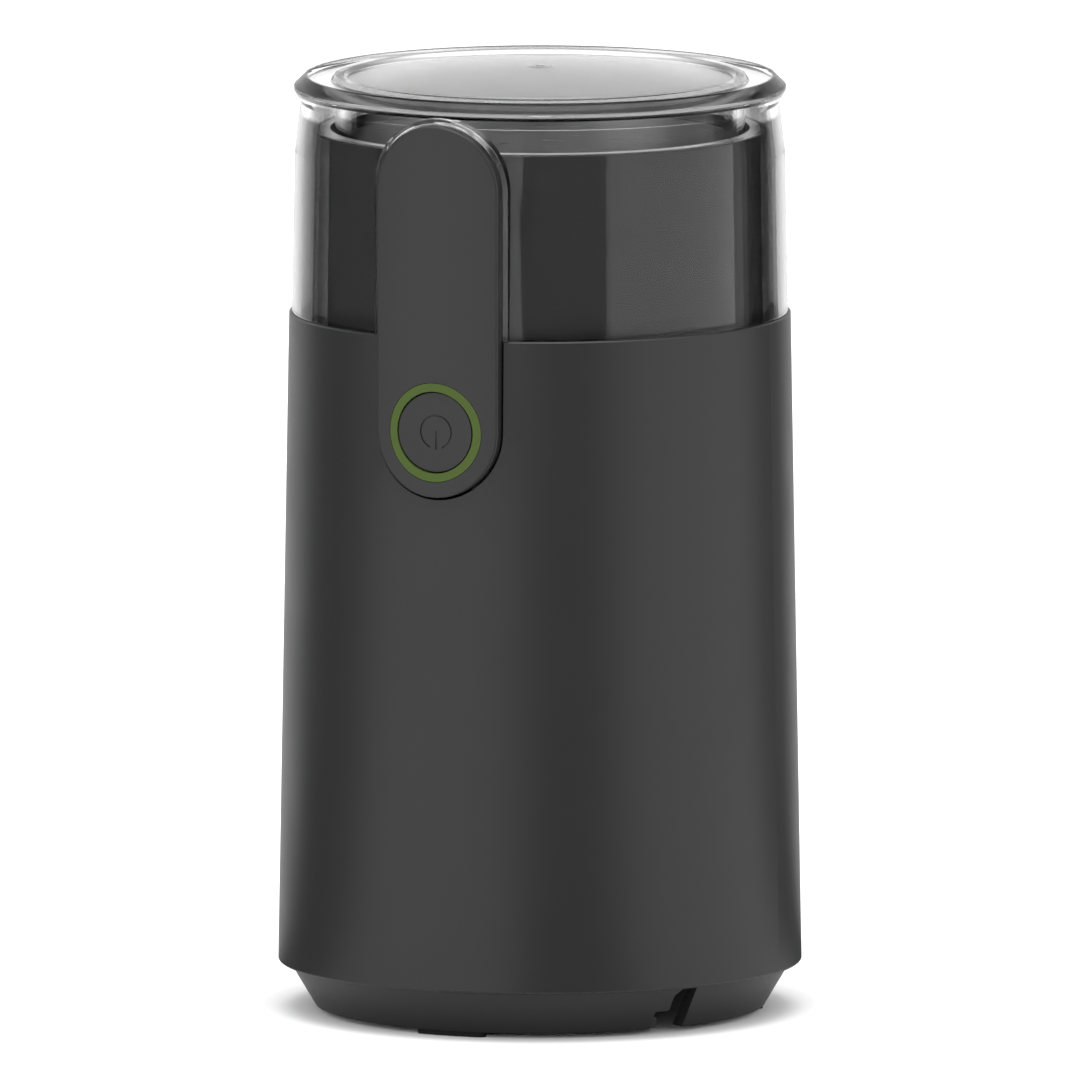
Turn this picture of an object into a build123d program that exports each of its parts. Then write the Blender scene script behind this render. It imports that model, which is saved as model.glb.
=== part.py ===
from build123d import *
import os
from math import cos, pi, radians, sin, sqrt

os.makedirs("parts", exist_ok=True)

# Electric blade grinder for coffee beans, in millimetres.
# The origin is on the body's axis, where the feet meet the table. +Z is up, the front is -Y.

# Gaps between pieces
flat_gap = 0.1
bush_gap = 0.03
fit_gap = 0.2
moving_gap = 0.3
panel_gap = 0.4

# Body outline, from the table up
foot_proud = 1.0
base_cone_h = 8.2
base_cone_run = 4.9
base_ledge = 2.0
housing_top_r = 46.9
housing_flare = 2.1
housing_h = 122.4
housing_wall = 2.2
housing_edge_round = 0.5

housing_low_r = housing_top_r + housing_flare
base_ledge_r = housing_low_r - base_ledge
base_low_r = base_ledge_r - base_cone_run
cone_top_z = foot_proud + base_cone_h
housing_top_z = cone_top_z + housing_h


def housing_r(z):
    """Outer radius of the tapered housing at a height."""
    return housing_low_r + (housing_top_r - housing_low_r) * (z - cone_top_z) / housing_h


# Bowl collar that stands out of the housing, and the deck inside it
neck_inset = 3.9
neck_taper = 0.5
neck_h = 34.5
neck_wall = 2.0
neck_edge_round = 0.4
tube_step = 0.2
deck_drop = 10.6
deck_t = 2.5
flange_t = 1.4
flange_w = 1.9
lip_h = 3.2
neck_low_r = housing_top_r - neck_inset
neck_top_r = neck_low_r - neck_taper
neck_top_z = housing_top_z + neck_h
tube_r = neck_low_r - tube_step
flange_r = neck_low_r + flange_w
deck_top_z = housing_top_z - deck_drop
deck_low_z = deck_top_z - deck_t

# Clear lid: steps inwards and upwards along its outline, from the wall's foot to the crown
lid_gap = 0.1
lid_wall = 1.6
lid_inset = 0.5
lid_lean = 0.6
lid_turn_in = 0.45
lid_groove_out = 2.2
lid_flange_w = 1.3
lid_rim_in = 2.5
lid_channel_w = 5.2
lid_ring_w = 1.6
lid_disc_in = 1.7
lid_shoulder_drop = 4.3
lid_turn_drop = 0.5
lid_groove_rise = 4.9
lid_flange_rise = 7.3
lid_flange_t = 0.6
lid_rim_rise = 9.9
lid_channel_drop = 0.7
lid_ring_h = 0.8
lid_crown_rise = 11.5
lid_skirt_drop = 1.7
lid_plate_t = 2.0
lid_draft = 0.6
lid_land = 0.4
lid_root = 0.8
lid_edge_round = 0.25
gate_r = 2.4
gate_depth = 0.5
lid_low_r = housing_top_r - lid_inset
lid_shoulder_r = lid_low_r - lid_lean
lid_turn_r = lid_shoulder_r - lid_turn_in
lid_groove_r = neck_top_r + lid_groove_out
lid_flange_r = lid_groove_r + lid_flange_w
lid_rim_r = lid_flange_r - lid_rim_in
lid_ring_r = lid_rim_r - lid_channel_w
lid_ring_inner_r = lid_ring_r - lid_ring_w
lid_disc_r = lid_ring_inner_r - lid_disc_in
lid_low_z = housing_top_z + lid_gap
lid_shoulder_z = neck_top_z - lid_shoulder_drop
lid_turn_z = neck_top_z - lid_turn_drop
lid_groove_z = neck_top_z + lid_groove_rise
lid_flange_low_z = neck_top_z + lid_flange_rise
lid_flange_top_z = lid_flange_low_z + lid_flange_t
lid_rim_z = neck_top_z + lid_rim_rise
lid_channel_z = lid_rim_z - lid_channel_drop
lid_ring_z = lid_channel_z + lid_ring_h
lid_crown_z = neck_top_z + lid_crown_rise
lid_skirt_z = neck_top_z - lid_skirt_drop

# Switch panel, a pill that stands proud of the body
panel_proud = 1.6
panel_t = 2.2
panel_half = 12.3
button_drop = 4.2
panel_top_drop = 6.7
panel_edge_round = 0.5
slot_gap = 0.5
pad_inset = 0.4
pad_t = 3.9
bead_w = 1.0
bead_sink = 1.3
bead_rise = 0.2
panel_r = housing_top_r + panel_proud
panel_low_centre_z = deck_low_z - button_drop
panel_top_centre_z = neck_top_z - panel_top_drop
panel_back_r = panel_r - panel_t
pad_r = panel_back_r - fit_gap
pad_inner_r = pad_r - pad_t
pad_root_r = tube_r - neck_wall / 2 + fit_gap
bead_r = panel_r - bead_sink
bead_top_z = lid_flange_top_z + bead_rise

# Button and its light ring
button_z = panel_low_centre_z
ring_outer_r = 9.25
ring_w = 1.55
ring_skirt_w = 0.95
ring_skirt_depth = 0.5
cap_recess = 0.1
cap_dish_depth = 0.6
cap_rim_w = 0.2
button_flange_t = 1.2
button_travel = 1.5
stem_r = 2.3
stem_l = 3.2
symbol_r = 3.1
symbol_line = 0.35
symbol_gap = 2.4
symbol_depth = 0.15
ring_inner_r = ring_outer_r - ring_w
cap_r = ring_inner_r - moving_gap
button_flange_r = ring_inner_r + ring_skirt_w

# Posts and screws
post_r = 3.5
post_in = 4.8
post_count = 4
post_angle = 45.0
screw_r = 1.5
screw_head_r = 3.0
screw_head_t = 1.5
screw_bite = 12.0
screw_hole_spare = 2.0
small_screw_r = 1.2
small_head_r = 2.3
small_head_t = 1.2
post_pitch_r = tube_r - post_in

# Base, cord store and feet
base_plug_h = 4.8
base_skirt_in = 2.5
base_roof_h = 23.0
base_roof_t = 2.0
base_wall = 2.0
base_rim_w = 3.2
hub_r = 17.0
hub_floor_h = 2.0
hub_lift = 2.0
pedestal_r = 8.0
pedestal_wall = 2.0
cushion_h = 4.0
notch_w = 4.6
notch_chamfer_w = 1.8
notch_chamfer_h = 1.6
relief_w = 2.8
relief_h = 3.6
relief_depth = 1.8
foot_w = 2.4
foot_sink = 0.8
foot_count = 3
foot_half_angle = 8.0
cord_hole_r = 3.1
grommet_wall = 1.4
grommet_flange = 1.6
grommet_in = 14.9
cord_angle = 60.0
base_plug_r = housing_low_r - housing_wall - panel_gap
base_skirt_r = base_plug_r - base_skirt_in
grommet_r = base_skirt_r - grommet_in
base_roof_top_z = foot_proud + base_roof_h
base_roof_low_z = base_roof_top_z - base_roof_t

# Motor, hung from the deck and standing on the base
shaft_r = 3.0
armature_r = 15.0
air_gap = 0.3
post_clear_x = 2.13
post_clear_y = 1.37
yoke_t = 5.0
commutator_r = 9.0
commutator_h = 12.0
commutator_drop = 12.0
coil_overhang = 6.3
bridge_t = 3.0
bridge_stand = 10.0
lower_bar_t = 4.0
lower_bar_drop = 7.5
motor_lift = 10.5
bush_r = 5.5
bush_h = 6.0
cup_wall = 2.5
cup_depth = 0.5
damper_h = 5.5
bridge_bar_y = 22.0
post_x = post_pitch_r * cos(radians(post_angle))
stator_x = 2 * (post_x + post_clear_x)
stator_y = 2 * (post_x - post_r - post_clear_y)
bridge_top_z = deck_low_z - damper_h
bridge_low_z = bridge_top_z - bridge_t
core_top_z = bridge_low_z - bridge_stand
lower_bar_low_z = base_roof_top_z + motor_lift
lower_bar_top_z = lower_bar_low_z + lower_bar_t
commutator_low_z = lower_bar_top_z + lower_bar_drop
commutator_top_z = commutator_low_z + commutator_h
brush_z = commutator_low_z + commutator_h / 2
core_low_z = commutator_top_z + commutator_drop
core_h = core_top_z - core_low_z

# Interlock that the lid presses down, and the small switches
slider_w = 5.0
slider_under = 2.2
slider_t = 1.2
slider_h = 27.6
slider_foot_h = 3.0
slider_top_room = 1.0
bracket_reach = 13.7
bracket_t = 2.2
bracket_half = 11.0
bracket_drop = 16.0
microswitch_l = 20.0
microswitch_d = 6.4
microswitch_h = 10.0
terminal_l = 3.0
terminal_w = 2.8
terminal_t = 0.6
terminal_in = 2.0
plunger_r = 1.5
plunger_in = 3.5
slider_in = lid_low_r - slider_under
slider_out = slider_in + slider_t
slider_low_z = housing_top_z - slider_h
channel_out = slider_out + panel_gap
bracket_in = slider_in - bracket_reach
interlock_y = bracket_in + bracket_t + microswitch_d / 2
slider_foot_in = interlock_y - plunger_r - panel_gap
plunger_hole_r = plunger_r + moving_gap


def section(points):
    """Closed half section from (radius, height) points, in the front plane."""
    with BuildSketch(Plane.XZ) as face:
        with BuildLine():
            Polyline(*points, close=True)
        make_face()
    return face.sketch


def ring_of(inner_r, outer_r, low_z, high_z):
    """Plain ring about the body's axis."""
    with BuildPart() as ring:
        with BuildSketch(Plane.XY.offset(low_z)):
            Circle(outer_r)
            Circle(inner_r, mode=Mode.SUBTRACT)
        extrude(amount=high_z - low_z)
    return ring.part


def pill(grow):
    """Upright outline of the switch panel, grown by a margin, seen from the front."""
    with BuildSketch(Plane.XZ) as outline:
        with Locations((0, panel_low_centre_z), (0, panel_top_centre_z)):
            Circle(panel_half + grow)
        with Locations((0, (panel_low_centre_z + panel_top_centre_z) / 2)):
            Rectangle(2 * (panel_half + grow), panel_top_centre_z - panel_low_centre_z)
    return outline.sketch


def pill_block(grow, inner_r, outer_r, low_z, high_z):
    """Part of a ring that the panel's outline cuts out at the front."""
    with BuildPart() as block:
        extrude(pill(grow), amount=2 * outer_r)
        add(ring_of(inner_r, outer_r, low_z, high_z), mode=Mode.INTERSECT)
    return block.part


def around(radius, count, first_angle):
    """Places on a circle about the axis, as (x, y), from an angle at +X."""
    step = 2 * pi / count
    turns = [radians(first_angle) + step * number for number in range(count)]
    return [(radius * cos(turn), radius * sin(turn)) for turn in turns]


post_places = around(post_pitch_r, post_count, post_angle)
whole_low_z = 0.0
whole_high_z = 1.1 * lid_crown_z
low_pill_z = panel_low_centre_z - panel_half

# Outer housing: a straight tapered sleeve with a top lip, open at the bottom
rebate_r = flange_r + flat_gap
lip_low_z = housing_top_z - lip_h
with BuildPart() as outer_housing:
    revolve(section([
        (housing_low_r, cone_top_z),
        (housing_top_r, housing_top_z),
        (rebate_r, housing_top_z),
        (rebate_r, housing_top_z - flange_t),
        (tube_r + fit_gap, housing_top_z - flange_t),
        (tube_r + fit_gap, lip_low_z),
        (housing_r(lip_low_z) - housing_wall, lip_low_z),
        (housing_low_r - housing_wall, cone_top_z),
    ]), axis=Axis.Z)
    low_edges = outer_housing.edges().filter_by(GeomType.CIRCLE).group_by(Axis.Z)[0]
    fillet(low_edges.sort_by(SortBy.RADIUS)[-1], radius=housing_edge_round)
    top_edges = outer_housing.edges().filter_by(GeomType.CIRCLE).group_by(Axis.Z)[-1]
    chamfer(top_edges.sort_by(SortBy.RADIUS)[-1], length=housing_edge_round / 2)
    extrude(pill(slot_gap), amount=2 * housing_low_r, mode=Mode.SUBTRACT)
    with BuildSketch(Plane.XY.offset(slider_low_z - moving_gap)):
        with Locations((0, channel_out / 2)):
            Rectangle(slider_w + 2 * moving_gap, channel_out)
    extrude(amount=slider_h + slider_top_room, mode=Mode.SUBTRACT)
outer_housing.part.label = "outer_housing"
export_step(outer_housing.part, "parts/outer_housing.step")

# Bowl chassis: collar, deck, panel tower, posts and interlock bracket in one moulding
bowl_t = 0.8
bowl_seat_w = 1.2
bowl_gap = 0.5
shaft_room = 4.5
motor_screw_in = 9.0
motor_head_r = 3.2
motor_head_t = 1.3
well_sink = 2.0
board_half = 7.0
board_h = 10.0
board_t = 1.0
board_rise = 0.8
ear_out = 4.5
ear_in = 7.0
ear_skin = 0.5
low_screw_drop = 22.0
top_screw_drop = 2.0
boss_r = 2.4
boss_depth = 2.0
panel_screw_grip = 3.2
shaft_hole_r = shaft_r + shaft_room
motor_screw_x = stator_x / 2 - motor_screw_in
button_well_r = button_flange_r + panel_gap
button_well_y = pad_root_r
board_low_z = button_z + ring_outer_r + board_rise
board_r = pad_r - fit_gap
ear_x = microswitch_l / 2 + ear_out
ear_y = ear_in - pad_root_r
panel_screw_zs = [panel_top_centre_z - low_screw_drop, panel_top_centre_z - top_screw_drop]
panel_head_y = pad_r - panel_screw_grip
bowl_seat_r = neck_top_r - bowl_seat_w
with BuildPart() as bowl_chassis:
    revolve(section([
        (shaft_hole_r, deck_low_z),
        (tube_r, deck_low_z),
        (tube_r, housing_top_z - flange_t),
        (flange_r, housing_top_z - flange_t),
        (flange_r, housing_top_z),
        (neck_low_r, housing_top_z),
        (neck_top_r, neck_top_z),
        (bowl_seat_r, neck_top_z),
        (bowl_seat_r, neck_top_z - bowl_t),
        (neck_top_r - neck_wall, neck_top_z - bowl_t),
        (neck_low_r - neck_wall, housing_top_z),
        (tube_r - neck_wall, housing_top_z - lip_h),
        (tube_r - neck_wall, deck_top_z),
        (shaft_hole_r, deck_top_z),
    ]), axis=Axis.Z)
    rim_edges = bowl_chassis.edges().filter_by(GeomType.CIRCLE).group_by(Axis.Z)[-1]
    fillet(rim_edges.sort_by(SortBy.RADIUS)[-1], radius=neck_edge_round)
    add(pill_block(-pad_inset, pad_inner_r, pad_r, whole_low_z, whole_high_z))
    add(pill_block(-pad_inset, pad_root_r, pad_r, whole_low_z, housing_top_z))
    with BuildSketch(Plane.XY.offset(base_roof_top_z)):
        with Locations(*post_places):
            Circle(post_r)
    extrude(amount=deck_top_z - base_roof_top_z)
    with BuildSketch(Plane.XY.offset(slider_low_z - bracket_drop)):
        with Locations((0, bracket_in + bracket_t / 2)):
            Rectangle(2 * bracket_half, bracket_t)
    extrude(amount=deck_top_z - slider_low_z + bracket_drop)
    with BuildSketch(Plane.XY.offset(base_roof_top_z)):
        with Locations(*post_places):
            Circle(screw_r)
    extrude(amount=screw_bite + screw_hole_spare, mode=Mode.SUBTRACT)
    with BuildSketch(Plane.XY.offset(deck_low_z)):
        with Locations((motor_screw_x, 0), (-motor_screw_x, 0)):
            Circle(screw_r + fit_gap)
    extrude(amount=deck_t, mode=Mode.SUBTRACT)
    with BuildSketch(Plane.XY.offset(deck_top_z - motor_head_t - flat_gap)):
        with Locations((motor_screw_x, 0), (-motor_screw_x, 0)):
            Circle(motor_head_r + fit_gap)
    extrude(amount=motor_head_t + flat_gap, mode=Mode.SUBTRACT)
    with BuildSketch(Plane.XY.offset(deck_low_z)):
        with Locations((ear_x, ear_y), (-ear_x, ear_y)):
            Circle(small_screw_r)
    extrude(amount=deck_t - ear_skin, mode=Mode.SUBTRACT)
    with BuildSketch(Plane.XZ.offset(button_well_y)):
        with Locations((0, button_z)):
            Circle(button_well_r)
    extrude(amount=2 * pad_t, mode=Mode.SUBTRACT)
    with BuildSketch(Plane.XZ.offset(button_well_y - well_sink)):
        with Locations((0, button_z)):
            Circle(button_well_r)
        with Locations((0, deck_low_z - button_well_r)):
            Rectangle(2 * button_well_r, 2 * button_well_r, mode=Mode.INTERSECT)
    extrude(amount=well_sink, mode=Mode.SUBTRACT)
    with BuildSketch(Plane.XZ.offset(board_r - board_t - 2 * fit_gap)):
        with Locations((0, board_low_z + board_h / 2)):
            Rectangle(2 * (board_half + panel_gap), board_h + 2 * panel_gap)
    extrude(amount=pad_t, mode=Mode.SUBTRACT)
    for screw_z in panel_screw_zs:
        for hole_r, from_y, to_y in (
            (small_head_r + fit_gap, panel_head_y - pad_t - neck_wall, panel_head_y),
            (small_screw_r + fit_gap, panel_head_y, panel_r),
            (boss_r + fit_gap, panel_back_r - boss_depth - fit_gap, panel_r),
        ):
            with BuildSketch(Plane.XZ.offset(from_y)):
                with Locations((0, screw_z)):
                    Circle(hole_r)
            extrude(amount=to_y - from_y, mode=Mode.SUBTRACT)
    with BuildSketch(Plane.XY.offset(lip_low_z)):
        with Locations((0, (slider_in - fit_gap + housing_top_r) / 2)):
            Rectangle(slider_w + 2 * moving_gap, housing_top_r - slider_in + fit_gap)
    extrude(amount=lip_h + flat_gap, mode=Mode.SUBTRACT)
bowl_chassis.part.label = "bowl_chassis"
export_step(bowl_chassis.part, "parts/bowl_chassis.step")

# Switch panel, curved with the body, with two screw bosses behind it
with BuildPart() as switch_panel:
    add(pill_block(0, panel_back_r, panel_r, whole_low_z, whole_high_z))
    panel_face = switch_panel.faces().filter_by(GeomType.CYLINDER).sort_by(Axis.Y)[0]
    fillet(panel_face.edges(), radius=panel_edge_round)
    for screw_z in panel_screw_zs:
        with BuildSketch(Plane.XZ.offset(panel_back_r - boss_depth)):
            with Locations((0, screw_z)):
                Circle(boss_r)
        extrude(amount=boss_depth + panel_t / 2)
    with BuildSketch(Plane.XZ.offset(panel_back_r - boss_depth)):
        with Locations(*[(0, screw_z) for screw_z in panel_screw_zs]):
            Circle(small_screw_r)
    extrude(amount=boss_depth + panel_t / 2, mode=Mode.SUBTRACT)
    with BuildSketch(Plane.XZ):
        with Locations((0, button_z)):
            Circle(ring_outer_r + flat_gap)
    extrude(amount=2 * panel_r, mode=Mode.SUBTRACT)
switch_panel.part.label = "switch_panel"
export_step(switch_panel.part, "parts/switch_panel.step")

# Light ring, pressed into the panel round the button
ring_back_y = pad_r - ring_skirt_depth - moving_gap
with BuildPart() as light_ring:
    with BuildSketch(Plane.XZ):
        with Locations((0, button_z)):
            Circle(ring_outer_r)
            Circle(ring_inner_r, mode=Mode.SUBTRACT)
    extrude(amount=2 * panel_r)
    add(ring_of(pad_r, panel_r, whole_low_z, whole_high_z), mode=Mode.INTERSECT)
    with BuildSketch(Plane.XZ.offset(ring_back_y)):
        with Locations((0, button_z)):
            Circle(button_flange_r)
            Circle(ring_inner_r, mode=Mode.SUBTRACT)
    extrude(amount=panel_back_r - ring_back_y)
light_ring.part.label = "light_ring"
export_step(light_ring.part, "parts/light_ring.step")

# Light board with its three lamps, in a pocket of the tower above the ring
board_y = board_r - board_t - 2 * fit_gap
lamp_size = 1.6
lamp_t = 0.5
with BuildPart() as light_board:
    with BuildSketch(Plane.XZ.offset(board_y)):
        with Locations((0, board_low_z + board_h / 2)):
            Rectangle(2 * board_half, board_h)
    extrude(amount=board_t)
    with BuildSketch(Plane.XZ.offset(board_y + board_t)):
        with Locations((0, board_low_z + lamp_size)):
            with GridLocations(board_half / 2 + lamp_size / 2, 1, 3, 1):
                Rectangle(lamp_size, lamp_size)
    extrude(amount=lamp_t)
light_board.part.label = "light_board"
export_step(light_board.part, "parts/light_board.step")

# Push button: dished cap, retaining flange behind the ring, and stem
button_flange_y = ring_back_y - moving_gap
button_back_y = button_flange_y - button_flange_t
cap_face_y = sqrt(panel_r ** 2 - cap_r ** 2) - cap_recess
stem_end_y = pad_root_r - stem_l
dish_rim_r = cap_r - cap_rim_w
dish_r = (dish_rim_r ** 2 + cap_dish_depth ** 2) / (2 * cap_dish_depth)
symbol_y = cap_face_y - cap_dish_depth - symbol_depth
with BuildPart() as push_button:
    with BuildSketch(Plane.XZ.offset(button_flange_y)):
        with Locations((0, button_z)):
            Circle(cap_r)
    extrude(amount=cap_face_y - button_flange_y)
    with Locations((0, -(cap_face_y - cap_dish_depth + dish_r), button_z)):
        Sphere(dish_r, mode=Mode.SUBTRACT)
    with BuildSketch(Plane.XZ.offset(symbol_y)):
        with Locations((0, button_z)):
            Circle(symbol_r + symbol_line / 2)
            Circle(symbol_r - symbol_line / 2, mode=Mode.SUBTRACT)
        with Locations((0, button_z - symbol_r)):
            Rectangle(symbol_gap, symbol_r, mode=Mode.SUBTRACT)
        with Locations((0, button_z - symbol_r / 2)):
            Rectangle(symbol_line, symbol_r + symbol_line)
    extrude(amount=panel_r - symbol_y, mode=Mode.SUBTRACT)
    with BuildSketch(Plane.XZ.offset(button_back_y)):
        with Locations((0, button_z)):
            Circle(button_flange_r)
    extrude(amount=button_flange_t)
    with BuildSketch(Plane.XZ.offset(stem_end_y)):
        with Locations((0, button_z)):
            Circle(stem_r)
    extrude(amount=button_back_y - stem_end_y)
push_button.part.label = "push_button"
export_step(push_button.part, "parts/push_button.step")

# Switch carrier under the deck: stem guide, shelf and cheeks for the power switch, two ears
switch_front_y = stem_end_y - button_travel - moving_gap
switch_back_y = switch_front_y - microswitch_h
carrier_r = pad_root_r - flat_gap
carrier_top_z = deck_low_z - flat_gap
carrier_side = 3.0
carrier_gap = 1.2
carrier_low_z = low_pill_z + pad_inset + carrier_gap - panel_gap
carrier_half = microswitch_l / 2 + carrier_side
carrier_back_y = switch_front_y + carrier_gap
spring_pocket_depth = 2.2
spring_pocket_y = carrier_r - spring_pocket_depth
coil_r = 2.9
coil_wire_r = 0.25
pocket_r = coil_r + 2 * coil_wire_r
shelf_t = 1.8
cheek_t = 1.8
ear_t = 2.5
ear_side = 3.0
ear_room = 3.0
ear_half = ear_x + ear_side
with BuildPart() as switch_carrier:
    with BuildSketch(Plane.XY.offset(carrier_low_z)):
        with Locations((0, -(carrier_back_y + tube_r) / 2)):
            Rectangle(2 * carrier_half, tube_r - carrier_back_y)
    extrude(amount=carrier_top_z - carrier_low_z)
    add(ring_of(0.5 * carrier_r, carrier_r, whole_low_z, whole_high_z), mode=Mode.INTERSECT)
    with BuildSketch(Plane.XY.offset(button_z - microswitch_d / 2 - flat_gap - shelf_t)):
        with Locations((0, -(carrier_back_y + switch_back_y) / 2)):
            Rectangle(microswitch_l + 2 * cheek_t, carrier_back_y - switch_back_y)
    extrude(amount=shelf_t)
    with BuildSketch(Plane.XY.offset(button_z - microswitch_d / 2 - flat_gap)):
        with Locations((0, -(carrier_back_y + switch_back_y) / 2)):
            with GridLocations(microswitch_l + 2 * flat_gap + cheek_t, 1, 2, 1):
                Rectangle(cheek_t, carrier_back_y - switch_back_y)
    extrude(amount=carrier_top_z - button_z + microswitch_d / 2 + flat_gap)
    with BuildSketch(Plane.XY.offset(carrier_top_z - ear_t)):
        with Locations((0, ear_y)):
            with GridLocations(ear_half + microswitch_l / 2, 1, 2, 1):
                Rectangle(ear_half - microswitch_l / 2, 2 * small_head_r + ear_room)
    extrude(amount=ear_t)
    with BuildSketch(Plane.XY.offset(carrier_top_z - ear_t)):
        with Locations((ear_x, ear_y), (-ear_x, ear_y)):
            Circle(small_screw_r)
    extrude(amount=ear_t, mode=Mode.SUBTRACT)
    with BuildSketch(Plane.XZ.offset(switch_back_y)):
        with Locations((0, button_z)):
            Circle(stem_r + moving_gap)
    extrude(amount=tube_r - switch_back_y, mode=Mode.SUBTRACT)
    with BuildSketch(Plane.XZ.offset(spring_pocket_y)):
        with Locations((0, button_z)):
            Circle(pocket_r)
    extrude(amount=tube_r - spring_pocket_y, mode=Mode.SUBTRACT)
switch_carrier.part.label = "switch_carrier"
export_step(switch_carrier.part, "parts/switch_carrier.step")

with BuildPart() as carrier_screws:
    with BuildSketch(Plane.XY.offset(carrier_top_z - ear_t - small_head_t)):
        with Locations((ear_x, ear_y), (-ear_x, ear_y)):
            Circle(small_head_r)
    extrude(amount=small_head_t)
    with BuildSketch(Plane.XY.offset(carrier_top_z - ear_t)):
        with Locations((ear_x, ear_y), (-ear_x, ear_y)):
            Circle(small_screw_r - bush_gap)
    extrude(amount=ear_t + deck_t - 2 * ear_skin)
carrier_screws.part.label = "carrier_screws"
export_step(carrier_screws.part, "parts/carrier_screws.step")

# Power switch behind the button, with its plunger
with BuildPart() as power_switch:
    with BuildSketch(Plane.XZ.offset(switch_back_y)):
        with Locations((0, button_z)):
            Rectangle(microswitch_l, microswitch_d)
    extrude(amount=microswitch_h)
    with BuildSketch(Plane.XZ.offset(switch_back_y - terminal_l)):
        with Locations((0, button_z)):
            with GridLocations(microswitch_l / 2 - terminal_in, 1, 3, 1):
                Rectangle(terminal_w, terminal_t)
    extrude(amount=terminal_l)
    with BuildSketch(Plane.XZ.offset(switch_front_y - plunger_in)):
        with Locations((0, button_z)):
            Circle(plunger_hole_r)
    extrude(amount=plunger_in, mode=Mode.SUBTRACT)
power_switch.part.label = "power_switch"
export_step(power_switch.part, "parts/power_switch.step")

plunger_end_y = switch_front_y - plunger_in + button_travel + moving_gap
with BuildPart() as power_switch_plunger:
    with BuildSketch(Plane.XZ.offset(plunger_end_y)):
        with Locations((0, button_z)):
            Circle(plunger_r)
    extrude(amount=stem_end_y - plunger_end_y)
power_switch_plunger.part.label = "power_switch_plunger"
export_step(power_switch_plunger.part, "parts/power_switch_plunger.step")

with BuildPart() as panel_screws:
    for screw_z in panel_screw_zs:
        with BuildSketch(Plane.XZ.offset(panel_head_y - small_head_t)):
            with Locations((0, screw_z)):
                Circle(small_head_r)
        extrude(amount=small_head_t)
        with BuildSketch(Plane.XZ.offset(panel_head_y)):
            with Locations((0, screw_z)):
                Circle(small_screw_r - bush_gap)
        extrude(amount=panel_back_r + panel_t / 2 - panel_head_y - flat_gap)
panel_screws.part.label = "panel_screws"
export_step(panel_screws.part, "parts/panel_screws.step")


def coil(mean_r, wire_r, length, turns):
    """Coil spring that stands on the origin, up +Z."""
    rise = length - 2 * wire_r
    with BuildPart() as spring:
        with BuildLine() as path:
            turn = Helix(pitch=rise / turns, height=rise, radius=mean_r, center=(0, 0, wire_r))
        with BuildSketch(Plane(origin=turn @ 0, z_dir=turn % 0)):
            Circle(wire_r)
        sweep(path=path.line, is_frenet=True)
    return spring.part


button_spring_part = coil(coil_r, coil_wire_r, button_back_y - spring_pocket_y - bush_gap, 3)
with BuildPart() as button_spring:
    with Locations(Plane(origin=(0, -spring_pocket_y, button_z), z_dir=(0, -1, 0))):
        add(button_spring_part)
button_spring.part.label = "button_spring"
export_step(button_spring.part, "parts/button_spring.step")


def lid_bead():
    """Raised rim round the lid's arch-shaped cut-out."""
    wall_middle = lid_wall / 2
    with BuildPart() as bead:
        extrude(pill(moving_gap + bead_w), amount=2 * bead_r)
        extrude(pill(moving_gap), amount=2 * bead_r, mode=Mode.SUBTRACT)
        revolve(section([
            (lid_low_r - wall_middle, lid_low_z),
            (bead_r, lid_low_z),
            (bead_r, bead_top_z + bead_w),
            (lid_groove_r - wall_middle, bead_top_z + bead_w),
            (lid_groove_r - wall_middle, lid_groove_z),
            (lid_turn_r - wall_middle, lid_turn_z),
            (lid_shoulder_r - wall_middle, lid_shoulder_z),
        ]), axis=Axis.Z, mode=Mode.INTERSECT)
        outer_face = bead.faces().filter_by(GeomType.CYLINDER).sort_by(Axis.Y)[0]
        fillet(outer_face.edges().filter_by(lambda edge: edge.length > 4 * bead_w), radius=bead_w / 5)
    return bead.part


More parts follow.
